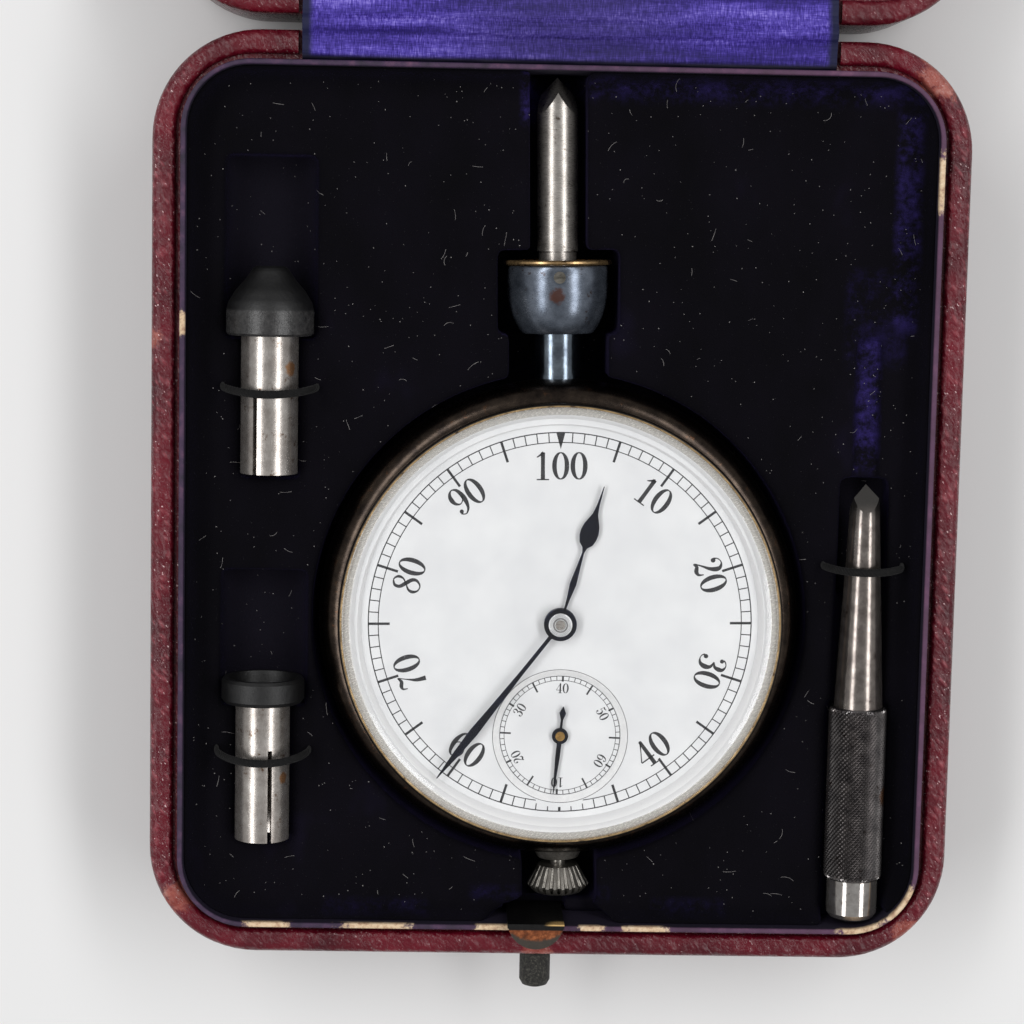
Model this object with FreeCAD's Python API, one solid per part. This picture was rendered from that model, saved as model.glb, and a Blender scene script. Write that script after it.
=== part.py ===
"""A pocket revolution counter in its fitted case: base tray, hinged lid, counter and three accessories.

Millimetres. The origin is the middle of the underside of the base tray, +X to the right of the dial,
+Y from the push latch to the hinge, +Z up. The lid lies open flat behind the tray.
"""
import FreeCAD, Part
import math
import os

V = FreeCAD.Vector
ORIGIN = V(0, 0, 0)
RIGHT = V(1, 0, 0)
BACK = V(0, 1, 0)
UP = V(0, 0, 1)
OUT = "parts"

# ---- case: both halves are the same tray -------------------------------------------------------
case_width = 102.0
case_length = 116.6
tray_depth = 18.0
corner_radius = 13.6
corner_tighten = 1.3        # how much faster than its inset an inner corner's radius shrinks
tray_floor = 2.5
bead_width = 3.0            # rounded leather bead along the rim
bead_round = 1.2
groove_width = 0.7          # sunk ledge between the bead and the lip
lip_play = 0.3              # between the lip and the shut lid
groove_depth = 1.0
foot_round = 2.0
lip_thickness = 0.7         # card lip that lines the base tray
lip_rise = 1.5
rim_gap = 0.3               # between the two rims when the lid is shut
hinge_offset = 1.0          # from the back wall to the hinge line

# ---- hinge and satin strip over it -------------------------------------------------------------
knuckle_radius = 0.8
pin_radius = 0.4
knuckle_play = 0.06
leaf_width = 60.0
leaf_thickness = 0.4
knuckle_count = 5
knuckle_gap = 0.3
satin_width = 66.0
satin_thickness = 0.5
satin_shift = 0.5           # the strip sits a little right of the middle

# ---- cushions ----------------------------------------------------------------------------------
pad_drop = 2.5              # from the rim down to the velvet
well_depth = 12.0
well_play = 0.8             # around whatever lies in the velvet
soft_gap = 0.3              # between the velvet and what rests on it
lid_clearance = 1.7         # from the highest piece to the shut lid's cushion

# ---- latch -------------------------------------------------------------------------------------
latch_x = -1.6
latch_width = 7.2
latch_travel = 0.65
latch_engagement = 0.5      # how far the nose reaches under the keeper
blade_thickness = 0.6
blade_gap = 0.15            # between the blade and the lip
nose_thickness = 1.6
nose_reach = 3.25           # from the blade's back face to the tip of the nose
nose_lift = 0.55            # over the lip
nose_room = 0.75            # in the lid's pocket, in front of the nose
keeper_thickness = 1.5
scoop_radius = 12.5         # shallow scoop in the velvet around the latch
scoop_reach = 3.0           # inwards from the lip
scoop_depth = 3.0
scoop_x = 0.5
button_x = -1.3
button_radius = 2.0
button_length = 4.65
button_stem = 1.1
button_drop = 6.0           # from the rim to the button's axis

# ---- counter: radii and heights from its back --------------------------------------------------
hub_x = 0.75
counter_turn = 1.25         # degrees that the counter lies turned in its well
band_setback = 3.3          # the band's radius is a third of the case's width, less this
cover_inset = 2.1           # radii of the shell, inwards from the band
cover_height = 2.2
band_height = 13.7
band_wall = 3.8
bezel_inset = 2.7
bezel_height = 3.1
bezel_wall = 0.6
crystal_bevel = 1.9
crystal_edge = 0.4
crystal_rise = 1.3
ledge_width = 1.2
plate_inset = 1.9           # from the bore to the back plate's edge
plate_thickness = 0.8
back_plate_z = 2.8
main_plate_z = 10.9
pillar_radius = 1.2
pillar_inset = 1.6
pillar_angles = (20, 160, 225, 315)
dial_play = 0.4
dial_thickness = 0.6
sub_drop = 14.5             # from the hub down to the middle of the small dial
sub_opening = 8.45
sub_rim = 0.5
sub_thickness = 0.4
count_hand_short = 1.4      # from its tip to the dial's edge
count_hand_angle = 218.75   # clockwise from the spindle
hundreds_hand_reach = 18.3
hundreds_hand_angle = 17.65
small_hand_reach = 7.5
small_hand_angle = 186.75
hand_thickness = 0.3
hand_boss = 2.07
hand_gap = 0.25

# ---- spindle, along +Y at this height above the counter's back ---------------------------------
axis_height = 7.2
spindle_radius = 2.6
spindle_clear = 4.8         # from its point to the back of the case
spindle_gap = 1.7           # from the cup to the shoulder
point_length = 4.6
spindle_core = 1.45
shaft_radius = 0.8
shaft_play = 0.05
neck_radius = 3.0
neck_wall = 0.75
neck_entry = 0.7            # how far it reaches into the band
neck_length = 5.5           # from the band to the cup
neck_room = 6.3             # half width of the hollow around it
cup_length = 8.8
cup_radius = 6.5
ring_radius = 6.9
ring_thickness = 0.6
cup_hollow = 3.4
cup_bulge = 6.2             # length of its rounded part, next to the neck
cup_taper = 2.0             # how much the rounded part draws in
bracket_width = 3.4
bracket_near = 1.7
bracket_far = 4.3
bracket_wall = 0.4
ball_radius = 0.6

# ---- crown, along -Y ---------------------------------------------------------------------------
crown_radius = 4.0
crown_length = 3.8
crown_gap = 1.1             # from the pendant bush
crown_clear = 1.45          # to the latch blade
crown_neck = 2.6            # radius of its end near the pendant
crown_rim = 2.5             # from there to its widest ring
crown_flutes = 24
flute_radius = 0.34
flute_rise = 0.06           # how far the flutes' axes lie outside the crown
stem_radius = 0.95
stem_entry = 4.2            # how far it reaches into the band
pendant_radius = 3.3
pendant_sink = 0.8
pendant_length = 1.9

# ---- wheel train -------------------------------------------------------------------------------
design_radius = 30.7        # the band radius that the train's sizes are for
worm_module_cut = 0.5
worm_radius_cut = 2.0
worm_place_cut = 8.22
worm_turns = 4
thread_sink = 0.2           # how deep the thread's foot is sunk in the worm's core
worm_wheel_teeth = 20
worm_wheel_thickness = 1.2
train_module_cut = 0.36
train_pinion_teeth = 10
centre_teeth = 50
leaf_teeth = 8
fine_module_cut = 0.3
reduction_teeth = 64
reduction_direction = 216.27
register_module_cut = 0.35
register_teeth = 60
motion_teeth = 80
idler_direction = 150.0
wheel_thickness = 0.8
thin_wheel = 0.35
screw_radius = 0.55         # of the plates' screws
screw_head_radius = 1.25
screw_head_height = 0.45
screw_slot = 0.3
screw_reach = 2.2           # into the pillar
arbor_radius = 0.6
pivot_radius = 0.4
wheel_addendum = 0.45       # in modules, short because the pinions have few leaves
leaf_addendum = 0.9
dedendum = 1.25
pipe_radius = 1.25
pipe_bore = 0.75

# ---- accessories in the velvet -----------------------------------------------------------------
rest_height = 0.5           # their axes above the velvet
loop_thickness = 1.0
loop_play = 0.3
tip_bore = 2.65
tip_bore_depth = 15.0
slot_width = 0.55
tip_gap = 1.6              # from the band to the rubber cup
cone_shift = 0.5
cone_forward = 18.25        # from the hub's line to the cone's sleeve
cone_sleeve_length = 17.35
cone_sleeve_radius = 3.6
cone_slot_length = 10.5
cone_slot_angle = -26.0
cone_rubber_radius = 5.5
cone_rubber_length = 8.6
cone_loop_at = 10.55
cup_backward = 28.7         # from the hub's line to the cup's sleeve
cup_sleeve_length = 17.7
cup_sleeve_radius = 3.45
cup_slot_length = 11.9
cup_slot_angle = 20.0
cup_rubber_radius = 5.25
cup_rubber_length = 3.2
cup_rubber_hollow = 2.0
cup_loop_at = 11.0
loop_half_span = 6.3
tip_slide = 12.8
probe_past_corner = 1.9     # from the corner's centre outwards
probe_clear = 5.0           # from its end to the front of the case
probe_facet = 3.2           # length of its ground point
probe_taper = 28.6
probe_tip_radius = 1.75
probe_rod_radius = 3.1
grip_radius = 3.75
grip_length = 22.4
probe_end_radius = 3.25
probe_end_length = 5.4
probe_loop_at = 10.7        # back from the point
probe_loop_span = 5.5
probe_tilt = 18.0           # degrees that the grip can be lifted
probe_groove_run = 18.2
probe_groove_half = 1.55

# ---- worked out from the sizes above -----------------------------------------------------------
half_width = case_width / 2
half_length = case_length / 2
band_radius = case_width / 3 - band_setback
cover_radius = band_radius - cover_inset
band_bore = band_radius - band_wall
bezel_radius = band_radius - bezel_inset
crystal_radius = bezel_radius - bezel_wall
crystal_flat = crystal_radius - crystal_bevel
ledge_radius = band_bore - ledge_width
plate_radius = band_bore - plate_inset
pillar_circle = plate_radius - pillar_inset
dial_radius = band_bore - dial_play
train_scale = band_radius / design_radius
sub_offset = sub_drop * train_scale
sub_radius = sub_opening * train_scale
count_hand_length = dial_radius - count_hand_short
hundreds_hand_length = hundreds_hand_reach * train_scale
small_hand_length = small_hand_reach * train_scale
bracket_from = bracket_near * train_scale
bracket_to = bracket_far * train_scale
worm_lead_module = worm_module_cut * train_scale
worm_pitch_radius = worm_radius_cut * train_scale
worm_place = worm_place_cut * train_scale
train_module = train_module_cut * train_scale
fine_module = fine_module_cut * train_scale
register_module = register_module_cut * train_scale
neck_start = band_bore - neck_entry
cup_start = band_radius + neck_length
spindle_start = cup_start + cup_length + spindle_gap
pendant_start = band_radius - pendant_sink
crown_start = pendant_start + pendant_length + crown_gap
stem_end = band_bore - stem_entry
hinge_y = half_length + hinge_offset
hinge_z = tray_depth + rim_gap / 2
wall = bead_width + groove_width
lid_wall = wall - lip_play
lip_inset = wall + lip_thickness
blade_back = -half_length + lip_inset + blade_gap + blade_thickness
hub_y = blade_back + crown_clear + crown_length + crown_start
spindle_end = half_length - spindle_clear - hub_y
cup_tip_x = hub_x - band_radius - tip_gap - cup_rubber_radius
cone_x = cup_tip_x + cone_shift
cone_back = hub_y + cone_forward
cone_loop_y = cone_back + cone_loop_at
cup_tip_back = hub_y - cup_backward
cup_loop_y = cup_tip_back + cup_loop_at
probe_x = half_width - corner_radius + probe_past_corner
probe_back = -half_length + probe_clear
grip_end = probe_back + probe_end_length
probe_taper_end = grip_end + grip_length
probe_point_y = probe_taper_end + probe_taper
probe_loop_y = probe_point_y - probe_loop_at
probe_groove_end = probe_point_y + probe_groove_run
pad_top = tray_depth - pad_drop
well_floor = pad_top - well_depth
counter_z = well_floor + soft_gap
axis_z = counter_z + axis_height
rest_z = pad_top + rest_height
lip_top = tray_depth + lip_rise
lid_top = 2 * hinge_z
dial_z = band_height - 0.2
dial_top = dial_z + dial_thickness
sub_top = dial_z
hundreds_hand_z = dial_top + 0.4
count_hand_z = hundreds_hand_z + hand_thickness + 0.3
cap_z = count_hand_z + hand_thickness + 0.05
crystal_z = cap_z + 0.55
worm_lead = math.pi * worm_lead_module
worm_wheel_x = worm_pitch_radius + worm_lead_module * worm_wheel_teeth / 2
centre_z = main_plate_z - wheel_thickness - 0.25
reduction_z = back_plate_z + plate_thickness + 0.3
register_z = reduction_z + wheel_thickness + 0.1
idler_z = main_plate_z + plate_thickness + 0.3
hundreds_z = idler_z + thin_wheel + 0.2
nose_top = lip_top + nose_lift + nose_thickness


# ---- shapes ------------------------------------------------------------------------------------
def disc(radius, bottom, top, x=0.0, y=0.0):
    """An upright cylinder."""
    return Part.makeCylinder(radius, top - bottom, V(x, y, bottom), UP)


def washer(outer, inner, bottom, top, x=0.0, y=0.0):
    """An upright ring."""
    return disc(outer, bottom, top, x, y).cut(disc(inner, bottom - 1, top + 1, x, y))


def rod(radius, start, end, x=0.0, z=0.0):
    """A cylinder along Y."""
    return Part.makeCylinder(radius, end - start, V(x, start, z), BACK)


def block(x_from, x_to, y_from, y_to, z_from, z_to):
    """A box between two corners."""
    return Part.makeBox(x_to - x_from, y_to - y_from, z_to - z_from, V(x_from, y_from, z_from))


def turned(corners, x=0.0, y=0.0):
    """A solid of revolution about an upright axis, from (radius, height) corners."""
    wire = Part.makePolygon([V(r, 0, z) for r, z in corners + corners[:1]])
    solid = Part.Face(wire).revolve(ORIGIN, UP, 360)
    solid.translate(V(x, y, 0))
    return solid


def turned_along(corners, x=0.0, z=0.0):
    """A solid of revolution about an axis along Y, from (radius, place) corners."""
    wire = Part.makePolygon([V(r, place, 0) for r, place in corners + corners[:1]])
    solid = Part.Face(wire).revolve(ORIGIN, BACK, 360)
    solid.translate(V(x, 0, z))
    return solid


def plate_of(points, bottom, top):
    """A flat plate with the outline of the points."""
    wire = Part.makePolygon([V(x, y, bottom) for x, y in points + points[:1]])
    return Part.Face(wire).extrude(V(0, 0, top - bottom))


def arc_points(centre, radius, start, end, count):
    """Points on an arc, angles in degrees."""
    angles = [math.radians(start + (end - start) * i / count) for i in range(count + 1)]
    return [(centre[0] + radius * math.cos(a), centre[1] + radius * math.sin(a)) for a in angles]


def rounded_slab(inset, bottom, top):
    """The case's outline, drawn in by inset, as an upright prism."""
    hx = half_width - inset
    hy = half_length - inset
    r = corner_radius - inset * corner_tighten
    outline = block(-hx, hx, -hy, hy, bottom, top)
    upright = [e for e in outline.Edges if abs(e.Length - (top - bottom)) < 1e-6 and is_upright(e)]
    return outline.makeFillet(r, upright)


def is_upright(edge):
    """Whether an edge runs along Z."""
    first, last = edge.Vertexes[0].Point, edge.Vertexes[-1].Point
    return abs(first.x - last.x) < 1e-6 and abs(first.y - last.y) < 1e-6


def edges_at(shape, height):
    """The edges that lie wholly at one height."""
    flat = [e for e in shape.Edges if e.BoundBox.ZLength < 1e-5]
    return [e for e in flat if abs(e.BoundBox.ZMin - height) < 1e-5]


def is_inside(edge):
    """Whether an edge of the rim belongs to the bead's inner side."""
    box = edge.BoundBox
    reach = max(abs(box.XMin), abs(box.XMax)) - half_width
    depth = max(abs(box.YMin), abs(box.YMax)) - half_length
    return max(reach, depth) < -bead_width / 2 - 0.3


def polar(radius, degrees):
    """A point at a distance and a direction from the hub."""
    return radius * math.cos(math.radians(degrees)), radius * math.sin(math.radians(degrees))


def placed(shape):
    """A counter piece, drawn about its hub and back, put in the well."""
    moved = shape.copy()
    moved.rotate(ORIGIN, UP, counter_turn)
    moved.translate(V(hub_x, hub_y, counter_z))
    return moved


def opened(shape):
    """A lid piece, drawn shut over the tray, swung open flat."""
    moved = shape.copy()
    moved.rotate(V(0, hinge_y, hinge_z), RIGHT, -180)
    return moved


def save(name, shape):
    """Write one node."""
    shape.exportStep(os.path.join(OUT, name + ".step"))


# ---- case and lid ------------------------------------------------------------------------------
def tray(thickness):
    """A tray: walls with a rounded bead, a sunk ledge inside it and a flat floor."""
    body = rounded_slab(0, 0, tray_depth)
    body = body.makeFillet(foot_round, edges_at(body, 0))
    body = body.cut(rounded_slab(thickness, tray_floor, tray_depth + 1))
    body = body.cut(rounded_slab(bead_width, tray_depth - groove_depth, tray_depth + 1))
    body = body.makeFillet(bead_round, [e for e in edges_at(body, tray_depth) if not is_inside(e)])
    return body.makeFillet(groove_depth * 0.8, [e for e in edges_at(body, tray_depth) if is_inside(e)])


def hinge_seat():
    """The relief in the back rim for the hinge leaf and the satin strip on it."""
    depth = leaf_thickness + satin_thickness + 0.1
    half = satin_width / 2 + 0.5
    return block(satin_shift - half, satin_shift + half, half_length - wall, half_length + 1,
                 tray_depth - depth, tray_depth + 1)


def knuckle_spans(first):
    """The stretches of the hinge that belong to one leaf."""
    pitch = leaf_width / knuckle_count
    starts = [satin_shift - leaf_width / 2 + pitch * i for i in range(first, knuckle_count, 2)]
    return [(x + knuckle_gap / 2, x + pitch - knuckle_gap / 2) for x in starts]


def hinge_leaf(first, bore):
    """A leaf let into the rim, with its knuckles about the hinge line."""
    bottom = tray_depth - leaf_thickness - satin_thickness - 0.1
    half = leaf_width / 2
    leaf = block(satin_shift - half, satin_shift + half, half_length - lid_wall + 0.1, half_length,
                 bottom, bottom + leaf_thickness)
    for start, end in knuckle_spans(first):
        barrel = Part.makeCylinder(knuckle_radius, end - start, V(start, hinge_y, hinge_z), RIGHT)
        tongue = block(start, end, half_length - 0.5, hinge_y, bottom, bottom + leaf_thickness)
        web = block(start, end, hinge_y - knuckle_radius, hinge_y - knuckle_radius + leaf_thickness,
                    bottom, hinge_z)
        leaf = leaf.fuse(tongue).fuse(web).fuse(barrel)
    hole = Part.makeCylinder(bore, leaf_width + 2, V(satin_shift - half - 1, hinge_y, hinge_z), RIGHT)
    return leaf.cut(hole).removeSplitter()


def satin_strip():
    """The satin that covers one leaf, flush with the rim."""
    top = tray_depth - 0.1
    half = satin_width / 2
    return block(satin_shift - half, satin_shift + half, half_length - lid_wall + 0.1, half_length - 0.1,
                 top - satin_thickness, top)


def shut(shape):
    """A piece of the base tray, turned into the same piece of the shut lid."""
    moved = shape.mirror(V(0, 0, hinge_z), UP)
    return moved


def nose_notch():
    """The pocket in the shut lid's front rim that the latch nose enters."""
    half = latch_width / 2 + 0.4
    front = blade_back - nose_reach - nose_room
    return block(latch_x - half, latch_x + half, front, -half_length + wall + 0.5,
                 tray_depth, nose_top + 0.8)


def keeper():
    """The brass ledge in the lid's rim that the nose hooks over."""
    half = latch_width / 2 + 0.4
    front = blade_back - nose_reach - nose_room
    edge = blade_back - nose_reach + latch_engagement
    bottom = tray_depth + rim_gap + 0.1
    return block(latch_x - half, latch_x + half, front, edge, bottom, bottom + keeper_thickness)


def make_case():
    """The base tray with its lip, hinge leaf, pin and satin."""
    stem_hole = rod(button_stem + 0.2, -half_length - 1, -half_length + lip_inset + 1, button_x,
                    tray_depth - button_drop)
    save("base_shell", tray(wall).cut(hinge_seat()).cut(stem_hole))
    lip = rounded_slab(wall, tray_floor, lip_top)
    lip = lip.cut(rounded_slab(lip_inset, tray_floor - 1, lip_top + 1))
    save("base_lip", lip.cut(stem_hole))
    save("hinge_leaf_base", hinge_leaf(0, pin_radius))
    pin_start = V(satin_shift - leaf_width / 2, hinge_y, hinge_z)
    pin = Part.makeCylinder(pin_radius, leaf_width, pin_start, RIGHT)
    save("hinge_pin", pin)
    save("satin_strip_base", satin_strip())


def make_lid():
    """The lid: the same tray with a cushion, the keeper, its hinge leaf and satin."""
    save("lid_shell", opened(shut(tray(lid_wall).cut(hinge_seat())).cut(nose_notch())))
    bottom = nose_top + lid_clearance
    cushion = rounded_slab(lid_wall, bottom, lid_top - tray_floor)
    save("lid_cushion", opened(cushion.makeFillet(bead_round, edges_at(cushion, bottom))))
    save("keeper_plate", opened(keeper()))
    save("hinge_leaf_lid", opened(shut(hinge_leaf(1, pin_radius + knuckle_play))))
    save("satin_strip_lid", opened(shut(satin_strip())))


def groove_for(radius, x, start, end):
    """A trough in the velvet for a piece that lies along Y: round below its axis, open above."""
    wide = radius + well_play / 2
    trough = rod(wide, start, end, x, rest_z)
    return trough.fuse(block(x - wide, x + wide, start, end, rest_z, tray_depth))


def counter_well():
    """The hollows in the velvet that take the counter, its neck, its spindle and its crown."""
    floor = well_floor
    body = disc(band_radius + well_play, floor, tray_depth)
    neck_end = cup_start + 0.2
    neck = block(-neck_room, neck_room, band_radius - 2, neck_end, floor + 1, tray_depth)
    collar_half = ring_radius + well_play
    collar = block(-collar_half, collar_half, neck_end - 0.1, cup_start + cup_length + 1.9,
                   axis_z - collar_half, tray_depth)
    spindle_half = spindle_radius + well_play + 0.2
    spindle = block(-spindle_half, spindle_half, cup_start + cup_length, half_length - hub_y + 1,
                    axis_z - spindle_half, tray_depth)
    crown_half = crown_radius + well_play
    crown = block(-crown_half, crown_half, -crown_start - crown_length - 0.4, -band_radius + 3,
                  axis_z - crown_half, tray_depth)
    hollows = [body, neck, collar, spindle, crown]
    for hollow in hollows:
        hollow.rotate(ORIGIN, UP, counter_turn)
        hollow.translate(V(hub_x, hub_y, 0))
    return hollows


def latch_pocket():
    """The hollow in the velvet that the latch blade moves in, and the scoop around it."""
    half = latch_width / 2 + 0.4
    slot = block(latch_x - half, latch_x + half, -half_length, blade_back + latch_travel + 0.25,
                 tray_depth - button_drop - button_stem - 1.2, tray_depth)
    scoop_y = -half_length + lip_inset + scoop_reach - scoop_radius
    return slot.fuse(disc(scoop_radius, pad_top - scoop_depth, tray_depth, scoop_x, scoop_y))


def probe_groove():
    """The trough for the probe, deeper under its point so that the grip can be lifted."""
    grip = groove_for(grip_radius, probe_x, -half_length, probe_taper_end + 0.6)
    rod_part = groove_for(probe_rod_radius, probe_x, probe_taper_end - 0.1, probe_loop_y)
    dip = (probe_point_y - probe_loop_y) * math.sin(math.radians(probe_tilt)) + probe_tip_radius + 0.6
    half = probe_rod_radius
    tip = block(probe_x - half, probe_x + half, probe_loop_y - 4, probe_point_y + 0.6,
                rest_z - dip, tray_depth)
    run = block(probe_x - probe_groove_half, probe_x + probe_groove_half, probe_point_y,
                probe_groove_end, rest_z - probe_tip_radius, tray_depth)
    return [grip, rod_part, tip, run]


def tip_grooves():
    """The troughs for the two rubber tips, long enough to slide them out of their loops."""
    cone_front = cone_back + cone_sleeve_length + 0.2
    cone_end = cone_front + cone_rubber_length + tip_slide + well_play
    cup_front = cup_tip_back + cup_sleeve_length
    cup_end = cup_front + cup_rubber_length + tip_slide + well_play
    return [
        groove_for(cone_sleeve_radius, cone_x, cone_back - well_play, cone_end),
        groove_for(cone_rubber_radius, cone_x, cone_front - well_play, cone_end),
        groove_for(cup_sleeve_radius, cup_tip_x, cup_tip_back - well_play, cup_end),
        groove_for(cup_rubber_radius, cup_tip_x, cup_front - well_play, cup_end),
    ]


def elastic_loop(x, y, held_radius, half_span):
    """An elastic cord that rises from the velvet, passes over a piece and goes down again."""
    bend = held_radius + loop_play + loop_thickness / 2
    foot = V(-half_span, 0, -rest_height - 1)
    reach = math.hypot(foot.x, foot.z)
    lean = math.atan2(foot.z, foot.x) - math.acos(bend / reach)
    touch = V(bend * math.cos(lean), 0, bend * math.sin(lean))
    other = V(-touch.x, 0, touch.z)
    path = Part.Wire([
        Part.LineSegment(foot, touch).toShape(),
        Part.Arc(touch, V(0, 0, bend), other).toShape(),
        Part.LineSegment(other, V(-foot.x, 0, foot.z)).toShape(),
    ])
    section = Part.Wire([Part.makeCircle(loop_thickness / 2, foot, touch - foot)])
    cord = path.makePipeShell([section], True, False)
    cord.translate(V(x, y, rest_z))
    above = block(x - 20, x + 20, y - 5, y + 5, pad_top, pad_top + 30)
    return cord.common(above)


def make_velvet():
    """The velvet pad with all its hollows, and the elastic loops sewn to it."""
    pad = rounded_slab(lip_inset, tray_floor, pad_top)
    hollows = counter_well() + [latch_pocket()] + probe_groove() + tip_grooves()
    for hollow in hollows:
        pad = pad.cut(hollow)
    save("velvet_pad", pad)
    save("elastic_loop_cone", elastic_loop(cone_x, cone_loop_y, cone_sleeve_radius, loop_half_span))
    save("elastic_loop_cup", elastic_loop(cup_tip_x, cup_loop_y, cup_sleeve_radius, loop_half_span))
    rod_radius = probe_radius_at(probe_loop_y)
    save("elastic_loop_probe", elastic_loop(probe_x, probe_loop_y, rod_radius + 0.3, probe_loop_span))


def make_latch():
    """The push button on its stem, and the upright blade with the D-shaped nose."""
    z = tray_depth - button_drop
    back = blade_back
    face = -half_length - soft_gap - latch_travel
    head = turned_along([(0, face), (button_radius, face), (button_radius, face - button_length + 0.9),
                         (button_radius - 0.35, face - button_length + 0.25),
                         (button_radius - 1.0, face - button_length), (0, face - button_length)],
                        button_x, z)
    save("latch_button", head.fuse(rod(button_stem, face - 0.5, back - blade_thickness, button_x, z)))
    half = latch_width / 2
    blade = block(latch_x - half, latch_x + half, back - blade_thickness, back,
                  z - button_stem - 0.8, nose_top)
    bow = (half * half + nose_reach * nose_reach) / (2 * nose_reach)
    spread = math.degrees(math.asin(half / bow))
    edge = arc_points((latch_x, back - nose_reach + bow), bow, 270 - spread, 270 + spread, 24)
    nose = plate_of(edge, nose_top - nose_thickness, nose_top)
    save("latch_catch", blade.fuse(nose).removeSplitter())


# ---- counter body ------------------------------------------------------------------------------
def band_profile():
    """The case band's section: a bulged outside, a bore, and a ledge for the plate and the dial."""
    lower = [(cover_radius, cover_height - 0.4), (cover_radius + 1.0, cover_height + 0.9),
             (band_radius - 0.45, band_height * 0.42)]
    upper = [(band_radius, band_height * 0.66), (band_radius - 0.2, band_height * 0.80),
             (band_radius - 0.8, band_height * 0.90), (band_radius - 1.7, band_height * 0.97),
             (bezel_radius, band_height)]
    inside = [(band_bore, band_height), (band_bore, dial_z), (ledge_radius, dial_z),
              (ledge_radius, main_plate_z + plate_thickness), (band_bore, main_plate_z + plate_thickness),
              (band_bore, cover_height), (cover_radius - 0.6, cover_height - 0.4)]
    return lower + upper + inside


def make_counter_shell():
    """Back cover, band, bezel and crystal."""
    cover = turned([(0, 0), (cover_radius - 3.5, 0), (cover_radius - 1.2, 0.6), (cover_radius - 0.2, 1.8),
                    (cover_radius - 1.0, cover_height - 0.4), (0, cover_height - 0.9)])
    save("back_cover", placed(cover))
    band = turned(band_profile())
    neck_hole = rod(neck_radius, 0, band_radius + 2, 0, axis_height)
    stem_hole = rod(stem_radius + 0.7, -band_radius - 2, 0, 0, axis_height)
    save("case_band", placed(band.cut(neck_hole).cut(stem_hole)))
    top = band_height + bezel_height
    seat = crystal_z
    bezel = turned([(dial_radius + 0.3, band_height), (bezel_radius, band_height),
                    (bezel_radius, top - 0.25), (bezel_radius - 0.2, top), (crystal_radius + 0.1, top),
                    (crystal_radius + 0.1, seat), (dial_radius - 0.2, seat),
                    (dial_radius - 0.2, dial_top + 0.15), (dial_radius + 0.3, dial_top + 0.15)])
    save("bezel", placed(bezel))
    crystal = turned([(0, seat), (crystal_radius, seat), (crystal_radius, seat + crystal_edge),
                      (crystal_flat, seat + crystal_edge + crystal_rise),
                      (0, seat + crystal_edge + crystal_rise)])
    save("crystal", placed(crystal))


def make_dials():
    """The enamel dial with its sunk small dial."""
    dial = disc(dial_radius, dial_z, dial_top)
    dial = dial.cut(disc(pipe_radius + 0.35, dial_z - 1, dial_top + 1))
    save("dial", placed(dial.cut(disc(sub_radius, dial_z - 1, dial_top + 1, 0, -sub_offset))))
    sub = washer(sub_radius + sub_rim, arbor_radius + 0.2, sub_top - sub_thickness, sub_top,
                 0, -sub_offset)
    save("sub_dial", placed(sub))


def bearing_holes(z_from, z_to, places):
    """Holes for arbors, each given as (radius, (x, y))."""
    holes = [disc(radius, z_from - 1, z_to + 1, x, y) for radius, (x, y) in places]
    return holes[0].multiFuse(holes[1:])


def make_plates():
    """The movement's two plates, the pillars between them, and the screws that hold them."""
    pivot = pivot_radius + shaft_play
    arbor = arbor_radius + shaft_play
    main_top = main_plate_z + plate_thickness
    back_top = back_plate_z + plate_thickness
    first = (worm_wheel_x, worm_place)
    register = (0, -sub_offset)
    main = disc(ledge_radius + 0.9, main_plate_z, main_top)
    main = main.cut(bearing_holes(main_plate_z, main_top, [
        (pivot, first), (arbor, (0, 0)), (arbor, register), (pivot, reduction_place())]))
    idler_x, idler_y = idler_place()
    stud = disc(pivot_radius, main_top, hundreds_z + thin_wheel, idler_x, idler_y)
    save("main_plate", placed(main.fuse(stud)))
    back = disc(plate_radius, back_plate_z, back_top)
    back = back.cut(bearing_holes(back_plate_z, back_top, [
        (pivot, first), (pivot, (0, 0)), (pivot, register), (pivot, reduction_place())]))
    screw_hole = screw_radius + shaft_play
    screw_holes = [(screw_hole, polar(pillar_circle, a)) for a in pillar_angles]
    save("back_plate", placed(back.cut(bearing_holes(back_plate_z, back_top, screw_holes))))
    pillars = []
    screws = []
    for angle in pillar_angles:
        x, y = polar(pillar_circle, angle)
        pillar = disc(pillar_radius, back_top, main_plate_z, x, y)
        hole = disc(screw_hole, back_top - 1, back_top + screw_reach + 0.3, x, y)
        pillars.append(placed(pillar.cut(hole)))
        head_start = back_plate_z - screw_head_height
        head = disc(screw_head_radius, head_start, back_plate_z, x, y)
        slot = block(x - 2 * screw_head_radius, x + 2 * screw_head_radius, y - screw_slot / 2,
                     y + screw_slot / 2, head_start - 1, back_plate_z - screw_head_height / 2)
        shank = disc(screw_radius, back_plate_z - 0.1, back_top + screw_reach, x, y)
        screws.append(placed(head.cut(slot).fuse(shank)))
    save("plate_pillars", Part.makeCompound(pillars))
    save("plate_screws", Part.makeCompound(screws))


def cup_bowl():
    """The cup's rounded outside: an arc that meets its straight wall smoothly."""
    radius = (cup_bulge ** 2 + cup_taper ** 2) / (2 * cup_taper)
    sweep = math.degrees(math.asin(cup_bulge / radius))
    return arc_points((cup_radius - radius, cup_start + cup_bulge), radius, -sweep, 0, 12)


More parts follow.
